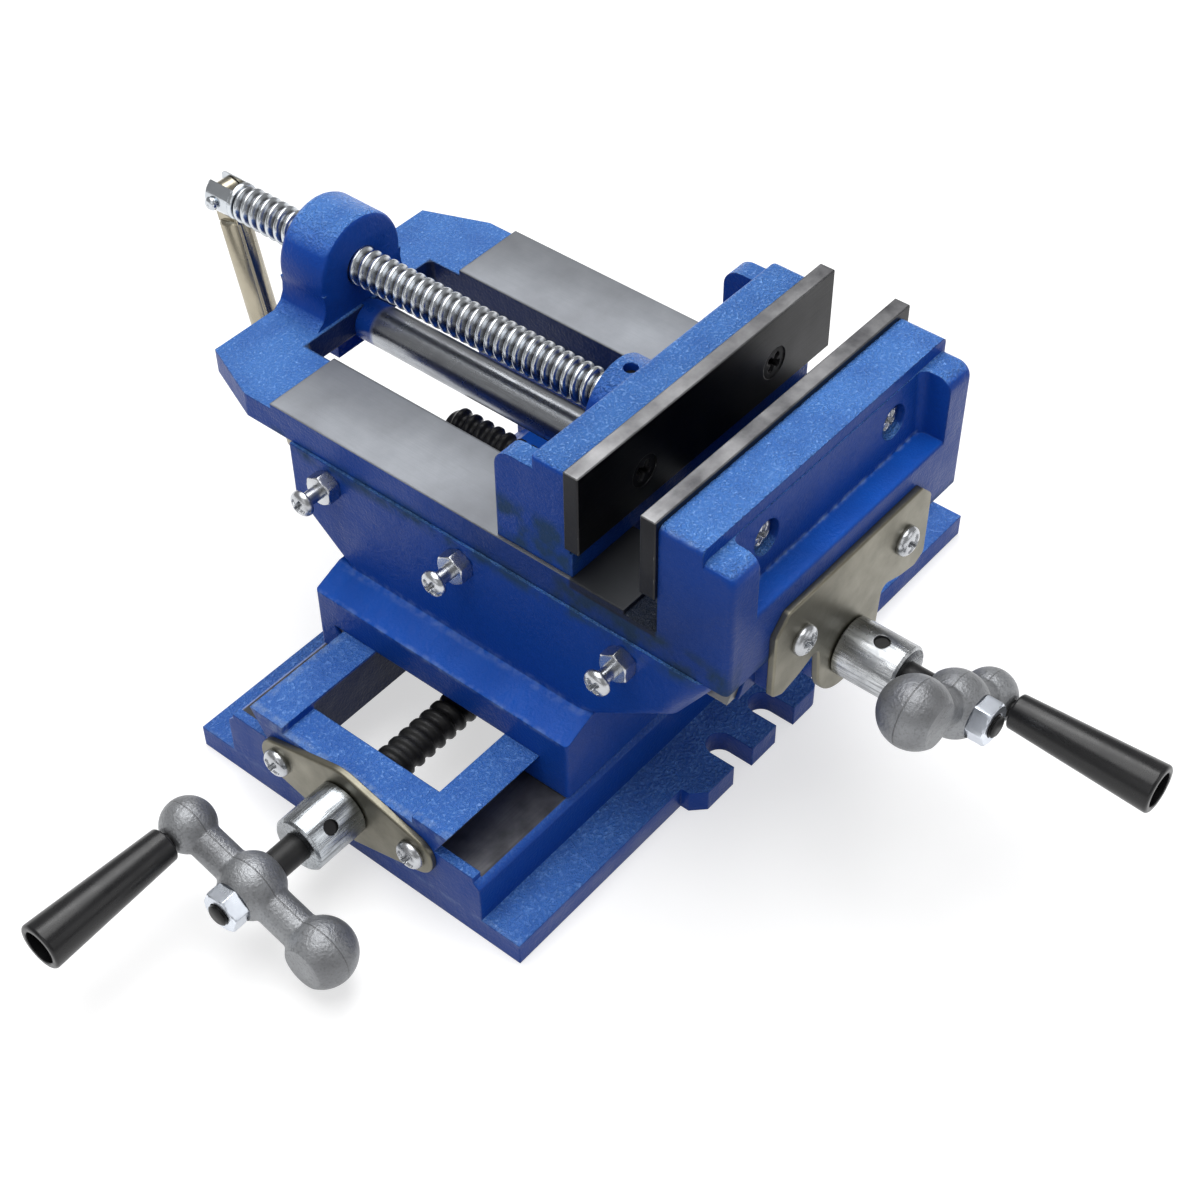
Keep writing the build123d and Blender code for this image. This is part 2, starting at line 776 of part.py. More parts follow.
# Jaw screw: grooved journal, threaded length, forked head
pin_y = 160.3
fork_width = 6.4
fork_depth = 7.0
bar_radius = 5.5
bar_length = 105.0
bar_shoulder = 9.1
eye_radius = 5.2
eye_thickness = fork_width - 0.5
with BuildPart() as jaw_screw:
    turned(
        along_y(vise_x, 0, jaw_axis_z),
        [
            (0, jaw_screw_start_y),
            (jaw_journal_radius - 0.8, jaw_screw_start_y),
            (jaw_journal_radius, jaw_screw_start_y + 0.8),
            (jaw_journal_radius, groove_y - 1.7),
            (3.6, groove_y - 1.7),
            (3.6, groove_y + 1.7),
            (jaw_journal_radius, groove_y + 1.7),
            (jaw_journal_radius, boss_end_y + 0.3),
            (jaw_screw_radius - 0.8, boss_end_y + 0.3),
            (jaw_screw_radius, boss_end_y + 1.1),
            (jaw_screw_radius, jaw_screw_end_y - 1.6),
            (jaw_screw_radius - 1.6, jaw_screw_end_y),
            (0, jaw_screw_end_y),
        ],
    )
    block(
        vise_x - fork_width / 2,
        vise_x + fork_width / 2,
        pin_y - fork_depth,
        jaw_screw_end_y + 1,
        jaw_axis_z - 10,
        jaw_axis_z + 10,
        Mode.SUBTRACT,
    )
    rod(along_x(vise_x, pin_y, jaw_axis_z), 2.0, -10, 10, Mode.SUBTRACT)
finish(jaw_screw, "jaw_screw")

with BuildPart() as handle_pin:
    pin_plane = facing_left(vise_x, pin_y, jaw_axis_z)
    turned(
        pin_plane,
        [
            (0, -7.6),
            (1.4, -7.6),
            (1.98, -7.1),
            (1.98, 7.5),
            (2.6, 7.5),
            (2.5, 8.2),
            (1.7, 9.0),
            (0, 9.3),
        ],
    )
finish(handle_pin, "handle_pin")

# Handle bar, hanging twelve degrees out of plumb as in the picture
handle_tilt = math.radians(12.0)
handle_down = Vector(0, -math.sin(handle_tilt), -math.cos(handle_tilt))
handle_plane = Plane(origin=(vise_x, pin_y, jaw_axis_z), x_dir=(1, 0, 0), z_dir=handle_down)
with BuildPart() as handle_bar:
    with BuildSketch(handle_plane):
        Rectangle(eye_thickness, 2 * eye_radius)
    extrude(amount=bar_shoulder + 0.9)
    eye_plane = along_x(vise_x - eye_thickness / 2, pin_y, jaw_axis_z)
    with BuildSketch(eye_plane):
        Circle(eye_radius)
    extrude(amount=eye_thickness)
    turned(
        handle_plane,
        [
            (0, bar_shoulder),
            (bar_radius - 0.8, bar_shoulder),
            (bar_radius, bar_shoulder + 0.8),
            (bar_radius, bar_length - 1.2),
            (bar_radius - 1.2, bar_length),
            (0, bar_length),
        ],
    )
    rod(eye_plane, 2.03, -5, 12, Mode.SUBTRACT)
finish(handle_bar, "handle_bar")

# Gibs: parallelogram strips between each dovetail's flank and the saddle
with BuildPart() as upper_gib:
    low = upper_dovetail_bottom_z + 0.2
    high = body_bottom_z - 0.6
    near_low = upper_root_gap + (body_bottom_z - low) * flank_slope
    near_high = upper_root_gap + (body_bottom_z - high) * flank_slope
    prism(
        Plane.XZ,
        [
            (vise_x - near_high, high),
            (vise_x - near_low, low),
            (vise_x - near_low - gib_thickness, low),
            (vise_x - near_high - gib_thickness, high),
        ],
        -saddle_rear_y + 1,
        -saddle_front_y - 1,
    )
finish(upper_gib, "upper_gib")

with BuildPart() as lower_gib:
    low = strip_z + 0.8
    high = rail_top_z - 0.4
    near_low = leg_root + (low - strip_z) * flank_slope
    near_high = leg_root + (high - strip_z) * flank_slope
    prism(
        Plane.YZ,
        [
            (near_low, low),
            (near_high, high),
            (near_high + gib_thickness, high),
            (near_low + gib_thickness, low),
        ],
        vise_x - saddle_half_x + 1,
        vise_x + saddle_half_x - 1,
    )
finish(lower_gib, "lower_gib")

# Gib screws with lock nuts: through the left wall and through the rear legs
upper_gib_flank = upper_root_gap + (body_bottom_z - upper_gib_screw_z) * flank_slope + gib_thickness
lower_gib_flank = leg_root + (lower_gib_screw_z - strip_z) * flank_slope + gib_thickness
with BuildPart() as upper_gib_screws:
    for y in upper_gib_screw_ys:
        seat = facing_left(left - gib_screw_reach, y, upper_gib_screw_z)
        shank = gib_screw_reach + saddle_half_upper - upper_gib_flank - 1.2
        pan_screw(seat, 4.6, 3.2, gib_screw_radius, shank)
finish(upper_gib_screws, "upper_gib_screws")

with BuildPart() as upper_gib_nuts:
    for y in upper_gib_screw_ys:
        seat = facing_left(left, y, upper_gib_screw_z)
        hex_nut(seat, gib_nut_width, gib_nut_height, gib_screw_radius + 0.02)
finish(upper_gib_nuts, "upper_gib_nuts")

with BuildPart() as lower_gib_screws:
    for x in lower_gib_screw_xs:
        seat = along_y(vise_x + x, saddle_half_y + gib_screw_reach, lower_gib_screw_z)
        shank = gib_screw_reach + saddle_half_y - lower_gib_flank - 1.2
        pan_screw(seat, 4.6, 3.2, gib_screw_radius, shank)
finish(lower_gib_screws, "lower_gib_screws")

with BuildPart() as lower_gib_nuts:
    for x in lower_gib_screw_xs:
        seat = along_y(vise_x + x, saddle_half_y, lower_gib_screw_z)
        hex_nut(seat, gib_nut_width, gib_nut_height, gib_screw_radius + 0.02)
finish(lower_gib_nuts, "lower_gib_nuts")

# Lead nuts bolted to the saddle
with BuildPart() as lower_lead_nut:
    block(vise_x - lead_nut_half, vise_x + lead_nut_half, -12.5, 12.5, 13.5, nut_pocket_roof_z)
    fillet(edges().filter_by(Axis.X).group_by(Axis.Z)[0], 8)
    bore = along_x(vise_x, 0, lower_axis_z)
    rod(bore, lead_radius + 0.05, -lead_nut_half - 1, lead_nut_half + 1, Mode.SUBTRACT)
    seat = Plane.XY.move(Location((vise_x, 0, lower_nut_seat_z)))
    rod(seat, nut_screw_radius, -lower_nut_screw_length - nut_screw_end_gap, 0, Mode.SUBTRACT)
finish(lower_lead_nut, "lower_lead_nut")

with BuildPart() as upper_lead_nut:
    block(
        vise_x - 12.5,
        vise_x + 12.5,
        nut_screw_y - lead_nut_half,
        nut_screw_y + lead_nut_half,
        channel_floor_z,
        upper_dovetail_bottom_z - 1.2,
    )
    fillet(edges().filter_by(Axis.Y).group_by(Axis.Z)[-1], 8)
    bore = along_y(vise_x, nut_screw_y, upper_axis_z)
    rod(bore, lead_radius + 0.05, -lead_nut_half - 1, lead_nut_half + 1, Mode.SUBTRACT)
    seat = Plane.XY.move(Location((vise_x, nut_screw_y, upper_nut_seat_z)))
    rod(seat, nut_screw_radius, 0, upper_nut_screw_length + nut_screw_end_gap, Mode.SUBTRACT)
finish(upper_lead_nut, "upper_lead_nut")

with BuildPart() as lower_nut_screw:
    seat = Plane.XY.move(Location((vise_x, 0, lower_nut_seat_z)))
    rod(seat, nut_screw_head_radius, 0, 5.8)
    rod(seat, nut_screw_radius - 0.05, -lower_nut_screw_length, 0)
finish(lower_nut_screw, "lower_nut_screw")

with BuildPart() as upper_nut_screw:
    seat = Plane.XY.move(Location((vise_x, nut_screw_y, upper_nut_seat_z)))
    rod(seat, nut_screw_head_radius, -5.8, 0)
    rod(seat, nut_screw_radius - 0.05, 0, upper_nut_screw_length)
finish(upper_nut_screw, "upper_nut_screw")

# Lead screws: thrust shoulder inside the end plate, journal out to the crank
lower_plate_face = -base_length / 2
lower_plate_outer = lower_plate_face - end_plate_thickness
lower_hub_x = lower_plate_face - lower_hub_reach
with BuildPart() as lower_lead_screw:
    turned(
        along_x(0, 0, lower_axis_z),
        [
            (0, lower_hub_x - hub_outer_face - 7.0),
            (crank_stud_radius - 0.5, lower_hub_x - hub_outer_face - 7.0),
            (crank_stud_radius, lower_hub_x - hub_outer_face - 6.5),
            (crank_stud_radius, lower_hub_x - hub_inner_face),
            (lead_journal_radius, lower_hub_x - hub_inner_face),
            (lead_journal_radius, lower_plate_face + 0.2),
            (lead_radius, lower_plate_face + 0.2),
            (lead_radius, lower_lead_end_x - 1.5),
            (lead_radius - 1.5, lower_lead_end_x),
            (0, lower_lead_end_x),
        ],
    )
finish(lower_lead_screw, "lower_lead_screw")

upper_plate_outer = front_y - end_plate_thickness
upper_hub_y = front_y - upper_hub_reach
with BuildPart() as upper_lead_screw:
    turned(
        along_y(vise_x, 0, upper_axis_z),
        [
            (0, upper_hub_y - hub_outer_face - 7.0),
            (crank_stud_radius - 0.5, upper_hub_y - hub_outer_face - 7.0),
            (crank_stud_radius, upper_hub_y - hub_outer_face - 6.5),
            (crank_stud_radius, upper_hub_y - hub_inner_face),
            (lead_journal_radius, upper_hub_y - hub_inner_face),
            (lead_journal_radius, front_y + 0.2),
            (lead_radius, front_y + 0.2),
            (lead_radius, upper_lead_end_y - 1.5),
            (lead_radius - 1.5, upper_lead_end_y),
            (0, upper_lead_end_y),
        ],
    )
finish(upper_lead_screw, "upper_lead_screw")

# Lower end plate: a rounded rhombus; upper end plate: wide shoulders, two lobes and
# a central tongue that reaches down to the lead screw
with BuildPart() as lower_end_plate:
    with BuildSketch(facing_left(lower_plate_face, 0, lower_axis_z)):
        with BuildSketch(mode=Mode.PRIVATE) as rounds:
            Circle(16.2)
            with Locations((-lower_screw_y, 0), (lower_screw_y, 0)):
                Circle(lower_plate_end_radius)
        make_hull(rounds.sketch.edges())
        Circle(lead_journal_radius + 0.05, mode=Mode.SUBTRACT)
        with Locations((-lower_screw_y, 0), (lower_screw_y, 0)):
            Circle(end_screw_radius + 0.2, mode=Mode.SUBTRACT)
    extrude(amount=end_plate_thickness)
    front = faces().sort_by(Axis.X)[0]
    rim = front.outer_wire().edges()
    fillet(rim, 0.9)
finish(lower_end_plate, "lower_end_plate")

with BuildPart() as upper_end_plate:
    with BuildSketch(facing_front(vise_x, front_y, 0)):
        with BuildLine():
            Polyline(
                (end_plate_half, end_plate_low_z),
                (end_plate_half, end_plate_top_z - 6.2),
                (end_plate_half - 6, end_plate_top_z),
                (6 - end_plate_half, end_plate_top_z),
                (-end_plate_half, end_plate_top_z - 6.2),
                (-end_plate_half, end_plate_low_z),
                (5 - end_plate_half, end_plate_low_z - 2.6),
                (-27, 83.0),
                (-17, 86.6),
                (-15.9, 73.6),
            )
            ThreePointArc((-15.9, 73.6), (0, 58.4), (15.9, 73.6))
            Polyline(
                (15.9, 73.6),
                (17, 86.6),
                (27, 83.0),
                (end_plate_half - 5, end_plate_low_z - 2.6),
                (end_plate_half, end_plate_low_z),
            )
        make_face()
        corners = [v for v in vertices() if abs(v.Y - 73.6) > 1]
        fillet(corners, 2.6)
        with Locations((0, upper_axis_z)):
            Circle(lead_journal_radius + 0.05, mode=Mode.SUBTRACT)
        with Locations((-end_screw_x, end_screw_z), (end_screw_x, end_screw_z)):
            Circle(end_screw_radius + 0.2, mode=Mode.SUBTRACT)
    extrude(amount=end_plate_thickness)
    front = faces().sort_by(Axis.Y)[0]
    fillet(front.outer_wire().edges(), 0.7)
finish(upper_end_plate, "upper_end_plate")

with BuildPart() as lower_plate_screws:
    for side in (-1, 1):
        seat = facing_left(lower_plate_outer, side * lower_screw_y, lower_axis_z)
        pan_screw(seat, 5.2, 3.6, end_screw_radius - 0.05, 12.0)
finish(lower_plate_screws, "lower_plate_screws")

with BuildPart() as upper_plate_screws:
    for side in (-1, 1):
        seat = facing_front(vise_x + side * end_screw_x, upper_plate_outer, end_screw_z)
        pan_screw(seat, 5.2, 3.6, end_screw_radius - 0.05, 12.0)
finish(upper_plate_screws, "upper_plate_screws")


def collar(plane, length, hole_direction, hole_at):
    """A thrust collar, bored for the journal, with one radial set-screw hole."""
    turned(
        plane,
        [
            (lead_journal_radius + 0.02, 0),
            (collar_radius - 0.5, 0),
            (collar_radius, 0.5),
            (collar_radius, length - 0.8),
            (collar_radius - 0.8, length),
            (lead_journal_radius + 0.02, length),
        ],
    )
    centre = plane.origin + plane.z_dir * hole_at
    rod(Plane(origin=centre, z_dir=hole_direction), 2.6, 0, 12, Mode.SUBTRACT)


# Collars outside the end plates
collar_gap = 0.15
lower_hole = Vector(0, -math.cos(math.radians(44)), math.sin(math.radians(44)))
upper_hole = Vector(-math.sin(math.radians(5)), 0, math.cos(math.radians(5)))
lower_collar_plane = facing_left(lower_plate_outer - collar_gap, 0, lower_axis_z)
upper_collar_plane = facing_front(vise_x, upper_plate_outer - collar_gap, upper_axis_z)
with BuildPart() as lower_collar:
    collar(lower_collar_plane, 20.6, lower_hole, 12.0)
finish(lower_collar, "lower_collar")

with BuildPart() as upper_collar:
    collar(upper_collar_plane, 21.4, upper_hole, 12.0)
finish(upper_collar, "upper_collar")

with BuildPart() as lower_collar_set_screw:
    centre = lower_collar_plane.origin + lower_collar_plane.z_dir * 12.0
    rod(Plane(origin=centre, z_dir=lower_hole), 2.55, 5.05, 8.8)
finish(lower_collar_set_screw, "lower_collar_set_screw")

with BuildPart() as upper_collar_set_screw:
    centre = upper_collar_plane.origin + upper_collar_plane.z_dir * 12.0
    rod(Plane(origin=centre, z_dir=upper_hole), 2.55, 5.05, 8.8)
finish(upper_collar_set_screw, "upper_collar_set_screw")


def ball_crank(plane):
    """A hub ball between a handle ball and a weight ball whose outer side is flat."""
    with BuildSketch(plane) as outline:
        Circle(hub_ball_radius)
        with Locations((handle_ball_offset, 0)):
            Circle(handle_ball_radius)
        with Locations((weight_ball_offset, 0)):
            Circle(weight_ball_radius)
        with Locations((handle_ball_offset / 2, 0)):
            Rectangle(handle_ball_offset, 2 * handle_arm_radius)
        with Locations((weight_ball_offset / 2, 0)):
            Rectangle(-weight_ball_offset, 2 * weight_arm_radius)
        with Locations((0, -25)):
            Rectangle(120, 50, mode=Mode.SUBTRACT)
        inner = [v for v in vertices() if weight_ball_offset + 3 < plane.to_local_coords(v).X < 25]
        inner = [v for v in inner if plane.to_local_coords(v).Y > 3]
        fillet(inner, 2.0)
    revolve(outline.sketch, axis=Axis(plane.origin, plane.x_dir))
    rod(plane, 7.4, hub_outer_face, 15, Mode.SUBTRACT)
    rod(plane, 7.4, -15, hub_inner_face, Mode.SUBTRACT)
    rod(plane, crank_stud_radius + 0.02, -15, 15, Mode.SUBTRACT)
    ball = Plane(plane.origin + plane.x_dir * weight_ball_offset, plane.x_dir, plane.z_dir)
    rod(ball, weight_ball_radius, weight_facet, 15, Mode.SUBTRACT)
    ball = Plane(plane.origin + plane.x_dir * handle_ball_offset, plane.x_dir, plane.z_dir)
    rod(ball, 4.6, 8.2, 15, Mode.SUBTRACT)
    rod(ball, 2.98, -5.0, 12, Mode.SUBTRACT)


def grip_spindle(plane):
    """The bolt a grip turns on: shank in the ball, head inside the grip's hollow."""
    turned(
        plane,
        [
            (0, -4.8),
            (2.95, -4.8),
            (2.95, grip_start + grip_length - 14.85),
            (4.9, grip_start + grip_length - 14.85),
            (4.9, grip_start + grip_length - 11.6),
            (4.2, grip_start + grip_length - 11.0),
            (0, grip_start + grip_length - 11.0),
        ],
    )


def grip(plane):
    """A tapered hand grip, bored for the spindle and hollow at its free end."""
    bore = 3.02
    mouth = 5.9
    end = grip_start + grip_length
    turned(
        plane,
        [
            (bore, grip_start),
            (grip_small_radius - 0.8, grip_start),
            (grip_small_radius, grip_start + 0.8),
            (grip_large_radius, end - 1.2),
            (grip_large_radius - 1.0, end),
            (mouth, end),
            (mouth, end - 15),
            (bore, end - 15),
        ],
    )


# Ball cranks, their nuts, spindles and grips
upper_turn = math.radians(upper_crank_angle)
lower_turn = math.radians(lower_crank_angle)
upper_crank_plane = Plane(
    origin=(vise_x, upper_hub_y, upper_axis_z),
    x_dir=(math.cos(upper_turn), 0, math.sin(upper_turn)),
    z_dir=(0, -1, 0),
)
lower_crank_plane = Plane(
    origin=(lower_hub_x, 0, lower_axis_z),
    x_dir=(0, math.cos(lower_turn), math.sin(lower_turn)),
    z_dir=(-1, 0, 0),
)


def ball_plane(plane):
    """The crank's plane moved to the centre of its handle ball."""
    return Plane(plane.origin + plane.x_dir * handle_ball_offset, plane.x_dir, plane.z_dir)


with BuildPart() as upper_crank:
    ball_crank(upper_crank_plane)
finish(upper_crank, "upper_crank")

with BuildPart() as lower_crank:
    ball_crank(lower_crank_plane)
finish(lower_crank, "lower_crank")

with BuildPart() as upper_crank_nut:
    hex_nut(upper_crank_plane.offset(hub_outer_face), crank_nut_width, crank_nut_height, 4.02)
finish(upper_crank_nut, "upper_crank_nut")

with BuildPart() as lower_crank_nut:
    hex_nut(lower_crank_plane.offset(hub_outer_face), crank_nut_width, crank_nut_height, 4.02)
finish(lower_crank_nut, "lower_crank_nut")

with BuildPart() as upper_grip_spindle:
    grip_spindle(ball_plane(upper_crank_plane))
finish(upper_grip_spindle, "upper_grip_spindle")

with BuildPart() as lower_grip_spindle:
    grip_spindle(ball_plane(lower_crank_plane))
finish(lower_grip_spindle, "lower_grip_spindle")

with BuildPart() as upper_grip:
    grip(ball_plane(upper_crank_plane))
finish(upper_grip, "upper_grip")

with BuildPart() as lower_grip:
    grip(ball_plane(lower_crank_plane))
finish(lower_grip, "lower_grip")
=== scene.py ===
# %% [markdown]
# # A cross slide vise, dressed
# The object is a drill press vise that stands on two crossed dovetail slides. Its castings
# are painted blue, its ways and jaw plates are ground steel, and its screws are plated or
# blackened. The solids come in as a fixed frame; this lesson gives each one its finish, and
# makes anew what the solids leave plain: threads, cross recesses, nut chamfers and grips.

import math

import bmesh
import bpy
import numpy as np
from mathutils import Matrix, Vector


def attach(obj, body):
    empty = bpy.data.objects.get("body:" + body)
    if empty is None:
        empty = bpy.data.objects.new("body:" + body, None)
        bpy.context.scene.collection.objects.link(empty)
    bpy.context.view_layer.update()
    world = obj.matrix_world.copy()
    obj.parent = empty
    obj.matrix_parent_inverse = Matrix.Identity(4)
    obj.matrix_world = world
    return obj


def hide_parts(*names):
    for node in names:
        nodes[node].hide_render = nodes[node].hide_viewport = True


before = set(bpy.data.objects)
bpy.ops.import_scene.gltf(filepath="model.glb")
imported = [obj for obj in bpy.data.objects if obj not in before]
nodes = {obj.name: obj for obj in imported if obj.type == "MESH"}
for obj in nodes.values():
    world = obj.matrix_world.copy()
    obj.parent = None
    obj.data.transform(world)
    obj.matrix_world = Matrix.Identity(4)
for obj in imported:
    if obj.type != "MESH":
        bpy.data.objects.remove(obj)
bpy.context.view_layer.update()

# %% [markdown]
# The places that several steps share are written once, in metres, as the solids have them:
# the vise's axis and the middle of its jaw plates, the heights of the screw axes and ground
# faces, the hubs of the two cranks and how far each crank is turned.

# %% Shared places
VISE_X, PLATE_X = -0.0087, -0.0078
LOWER_Z, UPPER_Z, JAW_Z = 0.0245, 0.0744, 0.1233
WAY_Z, STRIP_Z = 0.1105, 0.0265
LOWER_HUB = np.array([-0.1681, 0.0, LOWER_Z])
UPPER_HUB = np.array([VISE_X, -0.1465, UPPER_Z])
LOWER_TURN, UPPER_TURN = math.radians(17.5), math.radians(-35.6)
BALL_OFFSET = 0.0283


def axes_of(out, along):
    """Three unit columns: along, the cross product of out and along, and out."""
    out, along = np.array(out, float), np.array(along, float)
    return np.stack([along, np.cross(out, along), out], axis=1)


LOWER_AXES = axes_of((-1, 0, 0), (0, math.cos(LOWER_TURN), math.sin(LOWER_TURN)))
UPPER_AXES = axes_of((0, -1, 0), (math.cos(UPPER_TURN), 0, math.sin(UPPER_TURN)))
LOWER_BALL = LOWER_HUB + LOWER_AXES[:, 0] * BALL_OFFSET
UPPER_BALL = UPPER_HUB + UPPER_AXES[:, 0] * BALL_OFFSET
print("handle balls", LOWER_BALL.round(4), UPPER_BALL.round(4))

# %% [markdown]
# ## Shader helpers
# Node trees are long to write out, so small helpers come first. Two of them add any node and
# set its inputs; the others are the few nodes that every finish here is made of.


# %% Node helpers
def feed(tree, node, sockets):
    """Sets a node's inputs; a value that is itself a socket is linked."""
    for key, value in sockets.items():
        if isinstance(value, bpy.types.NodeSocket):
            tree.links.new(value, node.inputs[key])
        else:
            node.inputs[key].default_value = value


def put(tree, kind, sockets=None, **settings):
    """Adds a node with its settings and inputs."""
    node = tree.nodes.new(kind)
    for name, value in settings.items():
        setattr(node, name, value)
    feed(tree, node, sockets or {})
    return node


def calc(tree, operation, a, b=0.0, clamp=False):
    """One Math node, its result socket."""
    node = put(tree, "ShaderNodeMath", {0: a, 1: b}, operation=operation, use_clamp=clamp)
    return node.outputs[0]


def times(tree, a, b):
    """The product of two values."""
    return calc(tree, "MULTIPLY", a, b)


def ramp(tree, value, low, high, out_low=0.0, out_high=1.0):
    """A clamped linear map from one range to another."""
    sockets = {0: value, 1: low, 2: high, 3: out_low, 4: out_high}
    return put(tree, "ShaderNodeMapRange", sockets, clamp=True).outputs[0]


def vector_math(tree, operation, a, b=(0.0, 0.0, 0.0), output="Vector"):
    """One Vector Math node, its result socket."""
    return put(tree, "ShaderNodeVectorMath", {0: a, 1: b}, operation=operation).outputs[output]


def blend_colour(tree, share, a, b):
    """Colour a where share is 0, colour b where it is 1."""
    a, b = (c if isinstance(c, bpy.types.NodeSocket) else (*c, 1.0) for c in (a, b))
    return put(tree, "ShaderNodeMix", {0: share, 6: a, 7: b}, data_type="RGBA").outputs[2]


def blend_value(tree, share, a, b):
    """Value a where share is 0, value b where it is 1."""
    return put(tree, "ShaderNodeMix", {0: share, 2: a, 3: b}, data_type="FLOAT").outputs[0]


def blend_vector(tree, share, a, b):
    """Vector a where share is 0, vector b where it is 1."""
    return put(tree, "ShaderNodeMix", {0: share, 4: a, 5: b}, data_type="VECTOR").outputs[1]


print("node helpers ready")

# %% [markdown]
# Every pattern is noise read at a point of the shared frame, so it stays on its piece when
# the vise moves. What several finishes share goes into a node group with named sockets; the
# second helper starts one.


# %% Noise and groups
def object_place(tree):
    """The shaded point, in the coordinates of its piece."""
    return put(tree, "ShaderNodeTexCoord").outputs["Object"]


def noise(tree, place, scale, detail, roughness=0.5):
    """Fractal noise that wanders about one half."""
    sockets = {"Vector": place, "Scale": scale, "Detail": detail, "Roughness": roughness}
    return put(tree, "ShaderNodeTexNoise", sockets).outputs[0]


def new_group(name, inputs, outputs):
    """A shader group with its named sockets; returns the tree, its input and output nodes."""
    tree = bpy.data.node_groups.new(name, "ShaderNodeTree")
    for label, kind, value in inputs:
        tree.interface.new_socket(label, in_out="INPUT", socket_type=kind).default_value = value
    for label, kind in outputs:
        tree.interface.new_socket(label, in_out="OUTPUT", socket_type=kind)
    return tree, tree.nodes.new("NodeGroupInput"), tree.nodes.new("NodeGroupOutput")


FLOAT, VECTOR = "NodeSocketFloat", "NodeSocketVector"
print("noise and groups ready")

# %% [markdown]
# ## Edge wear
# Paint and blacking thin out on sharp corners. A Bevel node gives the normal the surface
# would have with rounded edges; where that differs from the true normal an edge is near.
# Noise breaks the line up, so that the wear comes and goes as on a handled tool.

# %% Edge wear group
edge_tree, edge_in, edge_out = new_group(
    "Edge wear",
    [("Width", FLOAT, 0.0006), ("Break up", FLOAT, 220.0), ("Amount", FLOAT, 0.5)],
    [("Mask", FLOAT), ("Soft normal", VECTOR)],
)
FLAT_LIKENESS, CORNER_LIKENESS, CHIP_FADE = 0.995, 0.86, 0.15
bevel_sockets = {"Radius": edge_in.outputs["Width"]}
rounded = put(edge_tree, "ShaderNodeBevel", bevel_sockets, samples=6).outputs[0]
true_normal = put(edge_tree, "ShaderNodeNewGeometry").outputs["Normal"]
likeness = vector_math(edge_tree, "DOT_PRODUCT", rounded, true_normal, "Value")
closeness = ramp(edge_tree, likeness, FLAT_LIKENESS, CORNER_LIKENESS)
chips = noise(edge_tree, object_place(edge_tree), edge_in.outputs["Break up"], 4.0)
threshold = calc(edge_tree, "SUBTRACT", 1.0, edge_in.outputs["Amount"])
kept = ramp(edge_tree, chips, threshold, calc(edge_tree, "ADD", threshold, CHIP_FADE))
feed(edge_tree, edge_out, {"Mask": times(edge_tree, closeness, kept), "Soft normal": rounded})
print("group", edge_tree.name)

# %% [markdown]
# ## Cast grain
# Sand casting leaves a pebbly skin that paint softens but doesn't hide. Fine noise gives the
# pebbles and slow noise the hollows a hand can feel. The tops of these castings are rougher
# than their sides, so the caller says how strong each is. The group also tells the hollows
# apart, where dust settles, and the crests of the pebbles, which catch the light.

# %% Cast grain group
grain_tree, grain_in, grain_out = new_group(
    "Cast grain",
    [("Pebble scale", FLOAT, 650.0), ("Pebbles", FLOAT, 1.0), ("Hollows", FLOAT, 1.0)],
    [("Height", FLOAT), ("Tint", FLOAT), ("Crest", FLOAT)],
)
HOLLOW_SCALE = 70.0
place = object_place(grain_tree)
pebble = noise(grain_tree, place, grain_in.outputs["Pebble scale"], 3.0, 0.55)
hollow = noise(grain_tree, place, HOLLOW_SCALE, 3.0)
pebble_height = times(grain_tree, ramp(grain_tree, pebble, 0.34, 0.66), grain_in.outputs["Pebbles"])
hollow_height = times(grain_tree, hollow, grain_in.outputs["Hollows"])
height = calc(grain_tree, "ADD", pebble_height, hollow_height)
tint, crest = ramp(grain_tree, hollow, 0.35, 0.65), ramp(grain_tree, pebble, 0.50, 0.69)
feed(grain_tree, grain_out, {"Height": height, "Tint": tint, "Crest": crest})
print("group", grain_tree.name)

# %% [markdown]
# ## Machined lines
# Grinding and turning leave fine lines one way. Noise whose coordinates are squeezed along
# the cut gives them; the caller turns the pattern by scaling the three axes differently.

# %% Machined lines group
line_tree, line_in, line_out = new_group(
    "Machined lines",
    [("Squeeze", VECTOR, (1.0, 1.0, 1.0)), ("Scale", FLOAT, 900.0)],
    [("Height", FLOAT), ("Smudge", FLOAT)],
)
SMUDGE_SCALE = 55.0
place = object_place(line_tree)
squeezed = vector_math(line_tree, "MULTIPLY", place, line_in.outputs["Squeeze"])
lines = noise(line_tree, squeezed, line_in.outputs["Scale"], 4.0, 0.7)
smudge = noise(line_tree, place, SMUDGE_SCALE, 5.0, 0.6)
feed(line_tree, line_out, {"Height": lines, "Smudge": ramp(line_tree, smudge, 0.3, 0.7)})
print("group", line_tree.name)

# %% [markdown]
# ## Where a finish begins
# One casting carries several finishes: bare ways beside painted skin. A box mask says which
# part of a piece is meant: it is 1 inside a box of the shared frame and 0 outside.

# %% Box mask group
mask_tree, mask_in, mask_out = new_group(
    "Box mask",
    [("Middle", VECTOR, (0.0, 0.0, 0.0)), ("Half size", VECTOR, (1.0, 1.0, 1.0)), ("Fade", FLOAT, 0.0002)],
    [("Mask", FLOAT)],
)
offset = vector_math(mask_tree, "SUBTRACT", object_place(mask_tree), mask_in.outputs["Middle"])
distance = vector_math(mask_tree, "ABSOLUTE", offset)
room = vector_math(mask_tree, "SUBTRACT", mask_in.outputs["Half size"], distance)
room_x, room_y, room_z = put(mask_tree, "ShaderNodeSeparateXYZ", {0: room}).outputs
least = calc(mask_tree, "MINIMUM", calc(mask_tree, "MINIMUM", room_x, room_y), room_z)
inside = calc(mask_tree, "ADD", calc(mask_tree, "DIVIDE", least, mask_in.outputs["Fade"]), 0.5, clamp=True)
feed(mask_tree, mask_out, {"Mask": inside})
